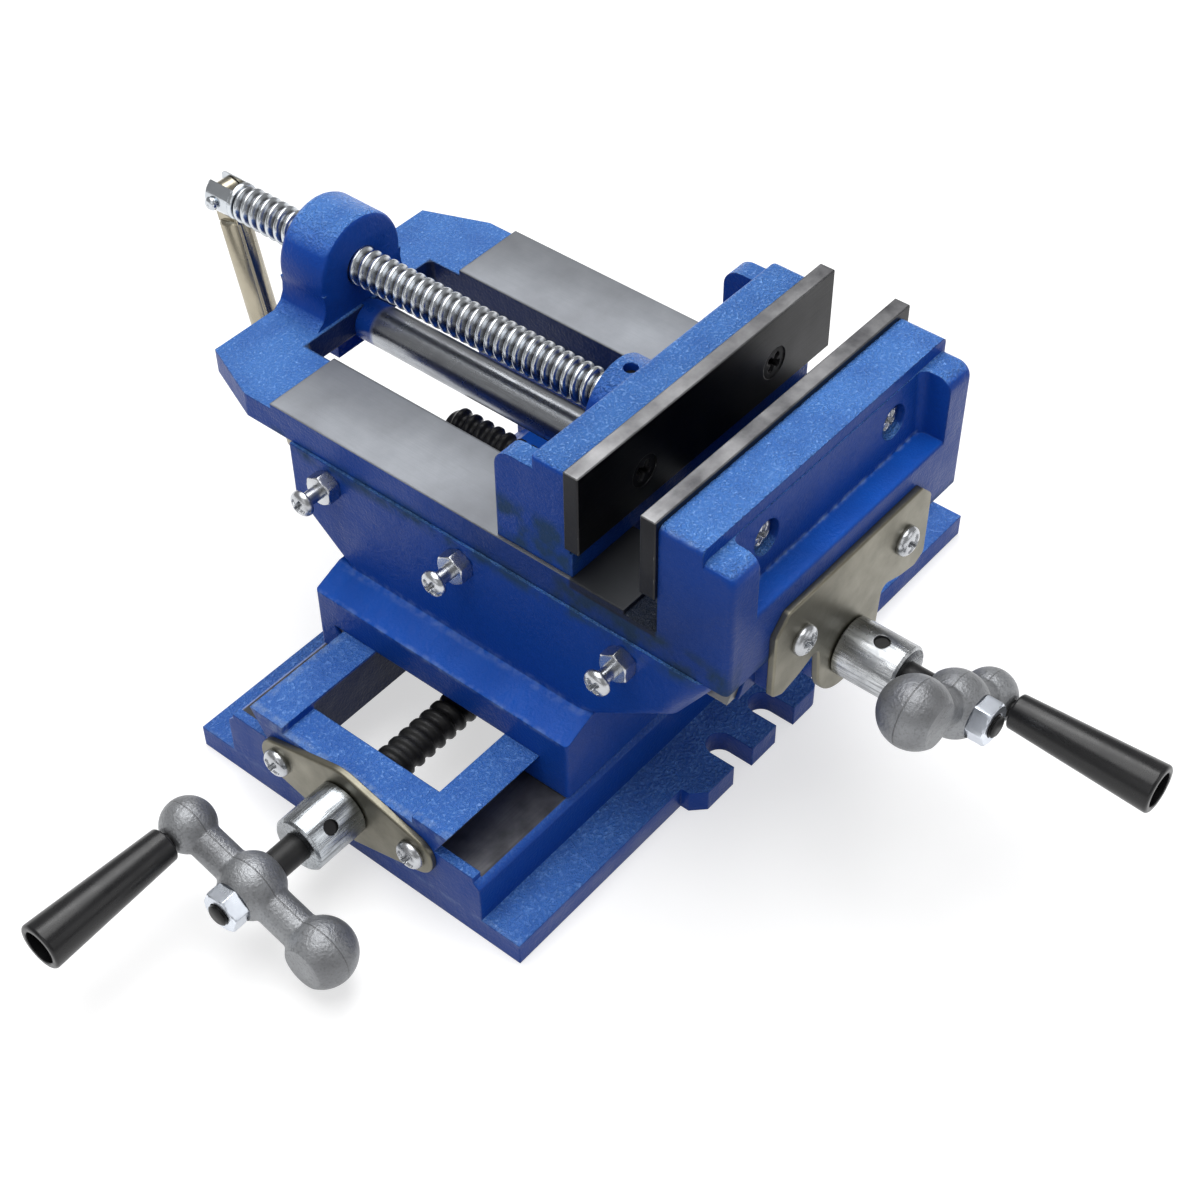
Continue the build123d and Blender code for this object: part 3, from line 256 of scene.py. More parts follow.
print("group", mask_tree.name)

# %% [markdown]
# ## Starting a material
# Each finish is one material whose Principled shader stays in the material itself. These
# helpers start it, place the groups in it, and give the two things most finishes ask for: a
# bump, and how far a surface faces up, since the tops of the castings are rougher than their
# walls and are painted lighter, as painted light.


# %% Material starters
def start_material(name):
    """An empty material with a Principled BSDF joined to its output."""
    material = bpy.data.materials.new(name)
    material.use_nodes = True
    tree = material.node_tree
    tree.nodes.clear()
    output = tree.nodes.new("ShaderNodeOutputMaterial")
    shader = tree.nodes.new("ShaderNodeBsdfPrincipled")
    tree.links.new(shader.outputs[0], output.inputs[0])
    return material, tree, shader


def use_group(tree, group, **values):
    """Places a group in a material; underscores in the names stand for spaces."""
    sockets = {name.replace("_", " "): value for name, value in values.items()}
    return put(tree, "ShaderNodeGroup", sockets, node_tree=group)


def box_mask(tree, low, high, fade=0.0002):
    """A box mask between two corners."""
    low, high = np.array(low, float), np.array(high, float)
    middle, half = (low + high) / 2, (high - low) / 2
    return use_group(tree, mask_tree, Middle=tuple(middle), Half_size=tuple(half), Fade=fade).outputs[0]


def bump(tree, height, strength, distance, normal=None):
    """A Bump node over a height socket."""
    sockets = {"Height": height, "Strength": strength, "Distance": distance}
    if normal is not None:
        sockets["Normal"] = normal
    return put(tree, "ShaderNodeBump", sockets).outputs[0]


def up_share(tree):
    """How far a surface faces up: 1 on level tops, 0 on walls."""
    normal = put(tree, "ShaderNodeNewGeometry").outputs["Normal"]
    z = put(tree, "ShaderNodeSeparateXYZ", {0: normal}).outputs[2]
    return ramp(tree, z, 0.55, 0.9)


print("starters ready")

# %% [markdown]
# ## Blue casting paint
# The castings wear one coat of blue enamel. On the tops the cast skin shows through as
# pebbles; the sides were dressed before painting and are smoother. Tops and level faces are
# painted lighter and the crests get a painted glint highlight, as painted light. These are the
# paint's colours, and the pairs of tones of the bare ground steel.

# %% Paint colours
PAINT_DEEP = (0.006, 0.053, 0.32)
PAINT_LIT_LEVEL = (0.007, 0.090, 0.48)
PAINT_GLINT_HIGHLIGHT = (0.22, 0.44, 0.90)
PAINT_PALE_WEAR_AND_HIGHLIGHT = (0.26, 0.38, 0.62)
PAINT_RUBBED = (0.10, 0.24, 0.50)
GRIME, OIL_AND_SHADE_BLACK = (0.02, 0.05, 0.05), (0.012, 0.013, 0.015)
WAY_STEEL = ((0.27, 0.285, 0.31), (0.21, 0.22, 0.24))
STRIP_STEEL = ((0.17, 0.17, 0.18), (0.05, 0.05, 0.055))
print("colours ready")

# %% [markdown]
# A used vise isn't equally clean all over. Greenish dirt sits along the slide joints, and
# corners and creases are rubbed pale in flecks; the same flecks make a painted highlight along
# the fixed jaw's ledge crease. Near-black boxes are painted shade between the jaws and over the
# left way, painted shade over dark oily steel in the slot, and darken the base's window walls.
# Each helper lays one of these over the colour it is given, inside boxes.


# %% Dirt, wear and oil
GRIME_SCALE, GRIME_FADE, GRIME_SHARE, GRIME_ROUGH = 120.0, 0.004, 0.7, 0.6
FLECK_SCALE, FLECK_FADE = 300.0, 0.0012


def with_grime(tree, colour, rough, boxes):
    """Greenish dirt in spots, duller than the paint."""
    for low, high in boxes:
        spots = noise(tree, object_place(tree), GRIME_SCALE, 5.0)
        dirt = times(tree, box_mask(tree, low, high, GRIME_FADE), ramp(tree, spots, 0.4, 0.6))
        colour = blend_colour(tree, times(tree, dirt, GRIME_SHARE), colour, GRIME)
        rough = blend_value(tree, dirt, rough, GRIME_ROUGH)
    return colour, rough


def with_wear_and_highlight_flecks(tree, colour, boxes):
    """Pale flecks: wear on corners and creases, and a painted highlight along the ledge crease; each box has
    its strength.
    """
    for low, high, share in boxes:
        flecks = noise(tree, object_place(tree), FLECK_SCALE, 6.0)
        rub_and_highlight = times(tree, box_mask(tree, low, high, FLECK_FADE), ramp(tree, flecks, 0.40, 0.66))
        colour = blend_colour(tree, times(tree, rub_and_highlight, share), colour, PAINT_PALE_WEAR_AND_HIGHLIGHT)
    return colour


def with_oil_and_painted_shade(tree, colour, boxes):
    """Near-black places: painted shade, and dark oily steel in the slot; each box has its strength and the
    width of its fade.
    """
    for low, high, share, fade in boxes:
        oil_and_shade = times(tree, box_mask(tree, low, high, fade), share)
        colour = blend_colour(tree, oil_and_shade, colour, OIL_AND_SHADE_BLACK)
    return colour


print("dirt, wear and oil ready")

# %% [markdown]
# The ways of the body and the strips of the base are ground bare. Inside their boxes the
# paint gives way to steel that wanders between two tones, with fine scratches along the cut.


# %% Bare ground places
STEEL_LINES, STEEL_ROUGH = 1500.0, 0.5


def with_bare_steel(tree, colour, rough, normal, soft, boxes, tones, squeeze):
    """Bare ground steel in each box; the last result is a mask of all of them."""
    metal = 0.0
    for low, high in boxes:
        mask = box_mask(tree, low, high)
        height, smudge = use_group(tree, line_tree, Squeeze=squeeze, Scale=STEEL_LINES).outputs
        bare = blend_colour(tree, smudge, *tones)
        bare = blend_colour(tree, ramp(tree, height, 0.45, 0.75, 0.0, 0.35), bare, tones[1])
        fine = bump(tree, height, 0.2, 0.0002, soft)
        colour = blend_colour(tree, mask, colour, bare)
        rough = blend_value(tree, mask, rough, STEEL_ROUGH)
        normal = blend_vector(tree, mask, normal, fine)
        metal = calc(tree, "MAXIMUM", metal, mask)
    return colour, rough, normal, metal


print("ground steel ready")

# %% [markdown]
# The paint itself: deep blue on the walls, then painted light: a lighter blue on level faces,
# and lightest on the rough tops, where the pebbles are high, their crests get a painted glint
# highlight and the enamel shines more. The calm boxes keep a level face smooth and without the
# lightest painted light, such as the ledge of the fixed jaw.


# %% Casting paint
PEBBLE_SCALE, SIDE_PEBBLES, CALM_FADE = 950.0, 0.10, 0.0015
PAINTED_GLINT_SHARE, HOLLOW_SHARE, CORNER_SHARE = 0.6, 0.3, 0.55
TOP_SHINE_SHARE, TOP_ROUGH, BARE_METALLIC = 0.6, 0.22, 0.7


def casting_paint(
    name, lit_top_colour, pebbles, calm=(), bare=(), grime=(), oily_and_shaded=(), worn_and_highlight=(), squeeze=(1, 1, 1), tones=()
):
    """Blue enamel with painted light, lightest on rough tops; the other places are lists of boxes."""
    material, tree, shader = start_material(name)
    level = up_share(tree)
    rough_and_lit_top = level
    for low, high in calm:
        lively = calc(tree, "SUBTRACT", 1.0, box_mask(tree, low, high, CALM_FADE))
        rough_and_lit_top = times(tree, rough_and_lit_top, lively)
    strength = ramp(tree, rough_and_lit_top, 0.0, 1.0, SIDE_PEBBLES * pebbles, pebbles)
    grain = use_group(tree, grain_tree, Pebble_scale=PEBBLE_SCALE, Pebbles=strength)
    height, tint, crest = grain.outputs
    edge = use_group(tree, edge_tree, Width=0.0009, Break_up=260.0, Amount=0.45)
    corner, soft = edge.outputs
    # Painted light: level faces and rough tops are painted lighter than the deep blue walls.
    colour = blend_colour(tree, level, PAINT_DEEP, PAINT_LIT_LEVEL)
    colour = blend_colour(tree, rough_and_lit_top, colour, lit_top_colour)
    # Painted highlight: the pebble crests on the rough tops get a pale glint colour.
    painted_glint = times(tree, times(tree, crest, rough_and_lit_top), PAINTED_GLINT_SHARE * pebbles)
    colour = blend_colour(tree, painted_glint, colour, PAINT_GLINT_HIGHLIGHT)
    colour = blend_colour(tree, times(tree, tint, HOLLOW_SHARE), colour, PAINT_DEEP)
    colour = blend_colour(tree, times(tree, corner, CORNER_SHARE), colour, PAINT_RUBBED)
    rough = ramp(tree, tint, 0.0, 1.0, 0.30, 0.42)
    rough = blend_value(tree, times(tree, rough_and_lit_top, TOP_SHINE_SHARE * pebbles), rough, TOP_ROUGH)
    normal = bump(tree, height, 0.9, 0.0009, soft)
    colour, rough = with_grime(tree, colour, rough, grime)
    colour = with_wear_and_highlight_flecks(tree, colour, worn_and_highlight)
    colour, rough, normal, metal = with_bare_steel(
        tree, colour, rough, normal, soft, bare, tones, squeeze
    )
    colour = with_oil_and_painted_shade(tree, colour, oily_and_shaded)
    shine, metallic = ramp(tree, rough_and_lit_top, 0.0, 1.0, 0.14, 0.34), times(tree, metal, BARE_METALLIC)
    feed(tree, shader, {"Base Color": colour, "Roughness": rough, "Normal": normal})
    feed(tree, shader, {"Specular IOR Level": shine, "Metallic": metallic})
    return material


print("paint ready")

# %% [markdown]
# Each casting has its own places. A ground face is a thin box at its height, the dirt of a
# joint a low box round it, and a worn corner or crease a narrow box along it; so is the painted
# highlight in the fillet behind the fixed jaw's ledge.

# %% Vise body paint
WAY_INNER, WAY_OUTER, WAY_FRONT, WAY_REAR = 0.0305, 0.0602, -0.0666, 0.0799
SKIN_BELOW, SKIN_ABOVE = 0.0004, 0.0003
WAY_LOW, WAY_HIGH = WAY_Z - SKIN_BELOW, WAY_Z + SKIN_ABOVE
left_way = ((VISE_X - WAY_OUTER, WAY_FRONT, WAY_LOW), (VISE_X - WAY_INNER, WAY_REAR, WAY_HIGH))
right_way = ((VISE_X + WAY_INNER, WAY_FRONT, WAY_LOW), (VISE_X + WAY_OUTER, WAY_REAR, WAY_HIGH))
fixed_jaw_ledge = ((-0.08, -0.12, 0.1215), (0.07, -0.0945, 0.1255))
slide_joint = ((VISE_X - 0.07, -0.11, 0.0975), (VISE_X + 0.07, 0.08, 0.1005))
jaw_gap_side = ((VISE_X - 0.065, -0.1045, 0.1), (VISE_X - 0.055, -0.04, 0.109))
# The slot's walls: dark oily bare steel, darkened further by painted shade.
slot_walls_dark_steel_and_shade = ((VISE_X - 0.0309, -0.0669, 0.0985), (VISE_X + 0.0309, 0.0941, 0.1103))
# Painted shade on the ways between the jaws.
jaw_gap_painted_shade = ((VISE_X - 0.0605, -0.0785, 0.107), (VISE_X + 0.0575, -0.046, 0.1108))
# Painted shade on the front of the left way, dimming the lamp's reflection there.
left_way_painted_shade = ((VISE_X - 0.08, -0.1, 0.07), (VISE_X - 0.02, 0.005, 0.128))
# Painted highlight: pale flecks along the fillet where the fixed jaw's ledge meets its wall.
ledge_crease_highlight = ((VISE_X - 0.046, -0.0966, 0.1228), (VISE_X + 0.046, -0.094, 0.1243))
jaw_top_corner = ((VISE_X - 0.0605, -0.0945, 0.1505), (VISE_X - 0.0585, -0.078, 0.1518))
# In each casting_paint call, the first colour is the rough tops' colour, lighter as painted light.
body_paint = casting_paint(
    "vise_body_paint", (0.07, 0.22, 0.63), 1.0, [fixed_jaw_ledge], [left_way, right_way],
    grime=[slide_joint, jaw_gap_side],
    oily_and_shaded=[(*slot_walls_dark_steel_and_shade, 0.85, 0.001), (*jaw_gap_painted_shade, 0.93, 0.001), (*left_way_painted_shade, 0.36, 0.03)],
    worn_and_highlight=[(*ledge_crease_highlight, 0.6), (*jaw_top_corner, 0.5)], squeeze=(1.0, 0.04, 1.0), tones=WAY_STEEL
)
print(body_paint.name)

# %% [markdown]
# The base is ground along the strips beside its dovetail rails, the walls of its window are
# dark, and its front corners are worn. The saddle is calm on its ledges, dirty where the vise
# body slides on it, and worn along its shoulder and outer edge. The movable jaw has the
# roughest top, and dirt low on its left rib.

# %% Base, saddle and jaw paints
STRIP_INNER, STRIP_OUTER, STRIP_END = 0.0355, 0.0535, 0.1217
STRIP_LOW, STRIP_HIGH = STRIP_Z - SKIN_BELOW, STRIP_Z + SKIN_ABOVE
front_strip = ((-STRIP_END, -STRIP_OUTER, STRIP_LOW), (STRIP_END, -STRIP_INNER, STRIP_HIGH))
rear_strip = ((-STRIP_END, STRIP_INNER, STRIP_LOW), (STRIP_END, STRIP_OUTER, STRIP_HIGH))
window_walls = ((-0.1108, -0.0288, 0.004), (0.1108, 0.0288, 0.0385))
flange_corner = ((-0.1254, -0.0715, 0.0082), (-0.1237, 0.0715, 0.0095))
rail_corner = ((-0.124, 0.0405, 0.0385), (-0.07, 0.0435, 0.0398))
bar_corner = ((-0.1254, -0.0435, 0.035), (-0.1225, 0.0435, 0.0398))
base_paint = casting_paint(
    "base_paint", (0.05, 0.17, 0.55), 0.75, bare=[front_strip, rear_strip],
    oily_and_shaded=[(*window_walls, 0.75, 0.0005)],
    worn_and_highlight=[(*flange_corner, 0.35), (*rail_corner, 0.6), (*bar_corner, 0.6)],
    squeeze=(0.04, 1.0, 1.0), tones=STRIP_STEEL
)
saddle_ledges = ((-0.1, -0.11, 0.04), (0.08, 0.08, 0.08))
saddle_joint = ((VISE_X - 0.07, -0.11, 0.0955), (VISE_X + 0.07, 0.08, 0.1))
shoulder_crease = ((VISE_X - 0.0632, -0.056, 0.0548), (VISE_X - 0.0606, 0.056, 0.0585))
outer_corner = ((VISE_X - 0.0736, -0.056, 0.0505), (VISE_X - 0.0722, 0.056, 0.0523))
saddle_paint = casting_paint(
    "saddle_paint", (0.05, 0.17, 0.50), 0.8, [saddle_ledges], grime=[saddle_joint],
    worn_and_highlight=[(*shoulder_crease, 0.22), (*outer_corner, 0.4)]
)
left_rib = ((VISE_X - 0.062, -0.047, 0.11), (VISE_X - 0.055, -0.016, 0.128))
jaw_paint = casting_paint("movable_jaw_paint", (0.06, 0.20, 0.58), 1.2, grime=[left_rib])
print("paints", len(bpy.data.materials))

# %% [markdown]
# ## Metals
# All the plated, blackened and ground pieces share one recipe with other numbers: a base
# colour that wanders between two tones, and brush lines in the bump. Collars and guide rod
# were turned, and their lines are deep enough to streak the colour. The black screws and the
# jaw plates are blued steel, whose edges are rubbed grey.


# %% Metal recipe
def metal_finish(
    name, tone, other, rough, squeeze, lines=0.2, scale=1500.0, rubbed=None, wear=0.4, streak=0.0
):
    """A metal that wanders from tone to other, with brush lines along one axis."""
    material, tree, shader = start_material(name)
    height, smudge = use_group(tree, line_tree, Squeeze=squeeze, Scale=scale).outputs
    edge, soft = use_group(tree, edge_tree, Width=0.0004, Break_up=400.0, Amount=wear).outputs
    colour = blend_colour(tree, smudge, tone, other)
    if streak:
        colour = blend_colour(tree, ramp(tree, height, 0.46, 0.6, 0.0, streak), colour, other)
    if rubbed is not None:
        colour = blend_colour(tree, edge, colour, rubbed)
    rough = ramp(tree, smudge, 0.0, 1.0, rough * 0.85, rough * 1.25)
    normal = bump(tree, height, lines, 0.0002, soft)
    feed(tree, shader, {"Base Color": colour, "Roughness": rough, "Normal": normal, "Metallic": 1.0})
    return material


EVEN, ALONG_Y = (1, 1, 1), (1, 0.1, 1)
ZINC, COLLAR = {"lines": 0.15, "scale": 900.0}, {"lines": 0.6, "scale": 900.0, "streak": 0.85}
finishes = {}
for name, tone, other, rough, squeeze, more in (
    ("zinc_plate", (0.62, 0.64, 0.67), (0.45, 0.46, 0.48), 0.24, EVEN, ZINC),
    ("nut_zinc", (0.84, 0.89, 0.96), (0.66, 0.70, 0.78), 0.28, EVEN, ZINC),
    ("dull_zinc", (0.028, 0.028, 0.03), (0.02, 0.02, 0.022), 0.5, EVEN, {"scale": 900.0}),
    ("bright_plate", (0.62, 0.66, 0.70), (0.46, 0.48, 0.51), 0.17, ALONG_Y, {"lines": 0.12}),
    ("thread_plate", (0.66, 0.70, 0.74), (0.50, 0.52, 0.55), 0.2, ALONG_Y, {}),
    ("handle_plate", (0.46, 0.42, 0.33), (0.34, 0.31, 0.24), 0.24, (1, 0.2, 0.2), {"lines": 0.12}),
    ("sheet_zinc", (0.24, 0.226, 0.178), (0.155, 0.147, 0.115), 0.36, (0.3, 0.3, 1), {"scale": 700.0}),
    ("bare_iron", (0.16, 0.16, 0.16), (0.09, 0.085, 0.08), 0.5, EVEN, {"lines": 0.3}),
    ("gib_steel", (0.3, 0.3, 0.3), (0.2, 0.2, 0.2), 0.4, ALONG_Y, {}),
    ("lower_collar_zinc", (0.62, 0.66, 0.70), (0.20, 0.21, 0.22), 0.24, (0.06, 1, 1), COLLAR),
    ("upper_collar_zinc", (0.80, 0.82, 0.84), (0.26, 0.27, 0.28), 0.24, (1, 0.06, 1), COLLAR),
    ("rod_steel", (0.46, 0.48, 0.51), (0.26, 0.27, 0.29), 0.26, (1, 0.05, 1), {"lines": 0.15, "streak": 0.5}),
    ("black_steel", (0.014, 0.014, 0.015), (0.03, 0.03, 0.03), 0.4, EVEN,
     {"lines": 0.3, "scale": 500.0, "rubbed": (0.2, 0.2, 0.2), "wear": 0.35}),
    ("jaw_plate", (0.022, 0.022, 0.024), (0.035, 0.035, 0.036), 0.36, (0.1, 1, 1),
     {"lines": 0.25, "scale": 900.0, "rubbed": (0.3, 0.3, 0.3)}),
):
    finishes[name] = metal_finish(name, tone, other, rough, squeeze, **more)
print("metals", len(finishes))

# %% [markdown]
# Four metals need a second look. Painted shade darkens the grooves of the clamping screw,
# told by the distance from its axis; the rear end of the guide rod took some blue paint; the
# black screws are oily rather than metallic. The jaw plates were ground bright along the top
# edge after blackening, which shows light and smudged: a thin band at the very top.


# %% Second looks
def parts_of(material):
    """A material's node tree and its Principled shader."""
    return material.node_tree, material.node_tree.nodes["Principled BSDF"]


def overlay(tree, shader, mask, colour):
    """Lays another colour over a finished one where the mask is 1."""
    old = shader.inputs["Base Color"].links[0].from_socket
    feed(tree, shader, {"Base Color": blend_colour(tree, mask, old, colour)})


# Painted shade: the thread is darker towards the bottom of its grooves.
GROOVE_SHADE_FULL, GROOVE_SHADE_NONE, GROOVE_SHADE_SHARE = 0.0053, 0.0064, 0.9
tree, shader = parts_of(finishes["thread_plate"])
from_axis = vector_math(tree, "SUBTRACT", object_place(tree), (VISE_X, 0.0, JAW_Z))
across_axis = vector_math(tree, "MULTIPLY", from_axis, (1.0, 0.0, 1.0))
radius = vector_math(tree, "LENGTH", across_axis, output="Value")
overlay(tree, shader, ramp(tree, radius, GROOVE_SHADE_FULL, GROOVE_SHADE_NONE, GROOVE_SHADE_SHARE, 0.0), (0.05, 0.05, 0.055))

tree, shader = parts_of(finishes["rod_steel"])
painted_end = box_mask(tree, (-0.03, 0.0865, 0.08), (0.02, 0.12, 0.12), 0.002)
overlay(tree, shader, painted_end, PAINT_DEEP)
feed(tree, shader, {"Metallic": calc(tree, "SUBTRACT", 1.0, painted_end)})

tree, shader = parts_of(finishes["black_steel"])
feed(tree, shader, {"Metallic": 0.4, "Specular IOR Level": 0.3})

PLATE_TOP_Z = 0.15345
tree, shader = parts_of(finishes["jaw_plate"])
top_band = box_mask(tree, (-0.09, -0.09, PLATE_TOP_Z), (0.09, -0.03, 0.16), 0.0001)
top_smudge = use_group(tree, line_tree, Squeeze=(0.05, 1, 1), Scale=1200.0).outputs["Smudge"]
overlay(tree, shader, top_band, blend_colour(tree, top_smudge, (0.24, 0.24, 0.245), (0.06, 0.06, 0.065)))
print("second looks done")

# %% [markdown]
# ## Grey die castings
# The cranks are cast in a two-part die and left as they came: matt grey, mottled, with a thin
# parting line where the die halves met. The line lies in the plane of the crank, so a thin
# box mask darkens it and drives a bump there.


# %% Crank finish
LINE_HALF, LINE_FADE = 0.00018, 0.00012


def crank_finish(name, line_low, line_high):
    """Matt die-cast grey with a parting line inside the given thin box."""
    material, tree, shader = start_material(name)
    grain = use_group(tree, grain_tree, Pebble_scale=1100.0, Pebbles=0.5, Hollows=1.2)
    height, tint, crest = grain.outputs
    colour = blend_colour(tree, tint, (0.33, 0.34, 0.355), (0.21, 0.215, 0.225))
    colour = blend_colour(tree, times(tree, crest, 0.5), colour, (0.15, 0.15, 0.155))
    line = box_mask(tree, line_low, line_high, LINE_FADE)
    colour = blend_colour(tree, times(tree, line, 0.55), colour, (0.12, 0.12, 0.12))
    normal = bump(tree, line, 0.6, 0.0003, bump(tree, height, 0.4, 0.0005))
    feed(tree, shader, {"Base Color": colour, "Roughness": 0.46, "Normal": normal, "Metallic": 0.75})
    return material


lower_plane, upper_plane = LOWER_HUB[0], UPPER_HUB[1]
lower_crank_grey = crank_finish(
    "lower_crank_grey", (lower_plane - LINE_HALF, -0.1, -0.1), (lower_plane + LINE_HALF, 0.1, 0.2)
)
upper_crank_grey = crank_finish(
    "upper_crank_grey", (-0.1, upper_plane - LINE_HALF, 0.0), (0.1, upper_plane + LINE_HALF, 0.2)
)
print("crank greys ready")

# %% [markdown]
# ## Moulded grips
# The grips are black plastic with a soft shine, scuffed along their length by hands.

# %% Grip finish
grip_black, tree, shader = start_material("grip_plastic")
scuffs, smudge = use_group(tree, line_tree, Squeeze=(0.25, 0.25, 1), Scale=420.0).outputs
tone = blend_colour(tree, smudge, (0.006, 0.006, 0.007), (0.012, 0.012, 0.013))
rough = ramp(tree, scuffs, 0.3, 0.7, 0.22, 0.36)
normal = bump(tree, scuffs, 0.12, 0.0002)
feed(tree, shader, {"Base Color": tone, "Roughness": rough, "Normal": normal, "Specular IOR Level": 0.4})
print("grips", grip_black.name)

# %% [markdown]
# ## Carrying the castings over
# A solid arrives as loose triangles. A copy of it is merged, its flat faces are joined up,
# and a small live bevel rounds every sharp corner, as casting and handling do. The copy then
# stands for the solid, which stays in the frame, hidden.


# %% Rounded copies
MERGE, FLAT_ANGLE, CORNER_ANGLE = 1e-6, math.radians(0.3), math.radians(32.0)


def add_to_scene(name, data):
    """A new object in the scene's own collection."""
    thing = bpy.data.objects.new(name, data)
    bpy.context.scene.collection.objects.link(thing)
    return thing


def shade(mesh, sharp_angle):
    """Smooth faces, with a hard edge where two of them meet at more than the angle."""
    mesh.polygons.foreach_set("use_smooth", [True] * len(mesh.polygons))
    mesh.set_sharp_from_angle(angle=sharp_angle)


def rounded_copy(node, material, body, width):
    """A merged copy of a CAD node with rounded corners, standing for that node."""
    mesh = nodes[node].data.copy()
    mesh.materials.clear()
    work = bmesh.new()
    work.from_mesh(mesh)
    bmesh.ops.remove_doubles(work, verts=work.verts, dist=MERGE)
    bmesh.ops.dissolve_limit(
        work, angle_limit=FLAT_ANGLE, verts=work.verts, edges=work.edges, delimit={"NORMAL"}
    )
    work.to_mesh(mesh)
    work.free()
    shade(mesh, CORNER_ANGLE)
    mesh.materials.append(material)
    piece = add_to_scene(node + "_dressed", mesh)
    if width:
        bevel = piece.modifiers.new("corners", "BEVEL")
        bevel.width = width
        bevel.segments = 2
        bevel.limit_method = "ANGLE"
        bevel.angle_limit = CORNER_ANGLE
        bevel.harden_normals = True
    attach(piece, body)
    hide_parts(node)


copies = (
    ("base", base_paint, "base_body", 0.0008),
    ("saddle", saddle_paint, "saddle_body", 0.0008),
    ("vise_body", body_paint, "vise", 0.0007),
    ("movable_jaw", jaw_paint, "jaw", 0.0008),
    ("lower_crank", lower_crank_grey, "lower_drive", 0.0003),
    ("upper_crank", upper_crank_grey, "upper_drive", 0.0003),
    ("lower_end_plate", finishes["sheet_zinc"], "base_body", 0.0002),
    ("upper_end_plate", finishes["sheet_zinc"], "vise", 0.0002),
    ("handle_bar", finishes["handle_plate"], "handle", 0.0),
    ("handle_pin", finishes["bright_plate"], "clamp_screw", 0.0),
    ("lower_collar", finishes["lower_collar_zinc"], "lower_drive", 0.0003),
    ("upper_collar", finishes["upper_collar_zinc"], "upper_drive", 0.0003),
    ("guide_rod", finishes["rod_steel"], "vise", 0.0),
)
for node, material, body, width in copies:
    rounded_copy(node, material, body, width)
print("copies", len(copies))

# %% [markdown]
# The other solids are shown as they are. The jaw plates are ground square, so they need no
# rounding; the gibs, lead nuts and their screws sit inside the slides, and the set screws and
# grip spindles show only an end. These only take their finish.

# %% Finishes of the solids that stay
pairs = {
    "jaw_plate": ("fixed_jaw_plate", "movable_jaw_plate"),
    "gib_steel": ("upper_gib", "lower_gib"),
    "bare_iron": ("upper_lead_nut", "lower_lead_nut"),
}
black = ["jaw_retaining_screw"]
for kind in ("nut_screw", "collar_set_screw", "grip_spindle"):
    black += ["upper_" + kind, "lower_" + kind]
for finish, names in {**pairs, "black_steel": black}.items():
    for node in names:
        nodes[node].data.materials.clear()
        nodes[node].data.materials.append(finishes[finish])
print("finished as they are", len(black) + 2 * len(pairs))

# %% [markdown]
# ## Grids of points
# Every new shape below is a grid: one parameter runs along the piece, the other round it. A
# tube is closed by a face over each end; a ring also joins its last row to its first, as a
# nut's section does. Most are turned: a profile of radius and height pairs is carried round
# an axis. The angle at which two faces meet in a hard edge is a little less for the rings.


# %% Grid mesh
TUBE_SHARP, RING_SHARP = math.radians(40), math.radians(28)


def grid_mesh(name, points, material, body, stands_for=(), ring=False):
    """A mesh from points[i, j]: j runs round; i runs along a capped tube, or round a ring."""
    rows, cols = points.shape[:2]
    strips = rows if ring else rows - 1
    i, j = np.meshgrid(np.arange(strips), np.arange(cols), indexing="ij")
    here, there, beside = i * cols, (i + 1) % rows * cols, (j + 1) % cols
    quads = np.stack([here + j, here + beside, there + beside, there + j], axis=-1)
    faces = quads.reshape(-1, 4).tolist()
    if not ring:
        faces.append(list(range(cols))[::-1])
        faces.append(list(range((rows - 1) * cols, rows * cols)))
    mesh = bpy.data.meshes.new(name)
    mesh.from_pydata(points.reshape(-1, 3).tolist(), [], faces)
    work = bmesh.new()
    work.from_mesh(mesh)
    bmesh.ops.recalc_face_normals(work, faces=work.faces)
    work.to_mesh(mesh)
    work.free()
    shade(mesh, RING_SHARP if ring else TUBE_SHARP)
    mesh.materials.append(material)
    piece = add_to_scene(name, mesh)
    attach(piece, body)
    if stands_for:
        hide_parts(*stands_for)


def angles(count):
    """Angles round a full turn, without the last, which would repeat the first."""
    return np.linspace(0, 2 * np.pi, count, endpoint=False)


def round_axis(r, t, h, origin, axes):
    """x = r cos t, y = r sin t, z = h, set on an axis."""
    return np.stack([r * np.cos(t), r * np.sin(t), h + 0 * t], axis=-1) @ axes.T + origin


def turned_points(profile, origin, axes, around):
    """Radius and height pairs carried round an axis."""
    r, h = np.array(profile, float).T[:, :, None]
    return round_axis(r, angles(around), h, origin, axes)


print("grid helpers ready")

# %% [markdown]
# ## Screw threads
# A thread is a cylinder whose radius depends on how far along a turn a point lies. The phase
# is the height over the pitch minus the angle over a full turn, so the ridge climbs like a
# right-hand screw. The ridge is rounded at its crest, as rolled threads are, and the radius
# falls away over the last two millimetres at each end.


# %% Thread grid
Y_AXES = axes_of((0, 1, 0), (1, 0, 0))
X_AXES = axes_of((1, 0, 0), (0, 1, 0))
RUN_OUT, RUN_OUT_DROP = 0.002, 0.7


def thread_points(
    origin, axes, start, end, crest, depth, pitch, around, step=0.00028, sharp=1.6, flat=1.0
):
    """r = crest - depth * s; s is 0 on the ridge and 1 in the groove, flat widens both."""
    h = np.linspace(start, end, int((end - start) / step) + 1)[:, None]
    t = angles(around)
    wave = 0.5 + 0.5 * np.cos(2 * np.pi * (h / pitch - t / (2 * np.pi)))
    groove = np.clip(flat * (1 - wave) - (flat - 1) / 2, 0, 1) ** sharp
    full = np.clip(np.minimum(h - start, end - h) / RUN_OUT, 0, 1)
    r = crest - depth * groove - (1 - full) ** 2 * depth * RUN_OUT_DROP
    return round_axis(r, t, h, origin, axes)


print("thread grid ready")

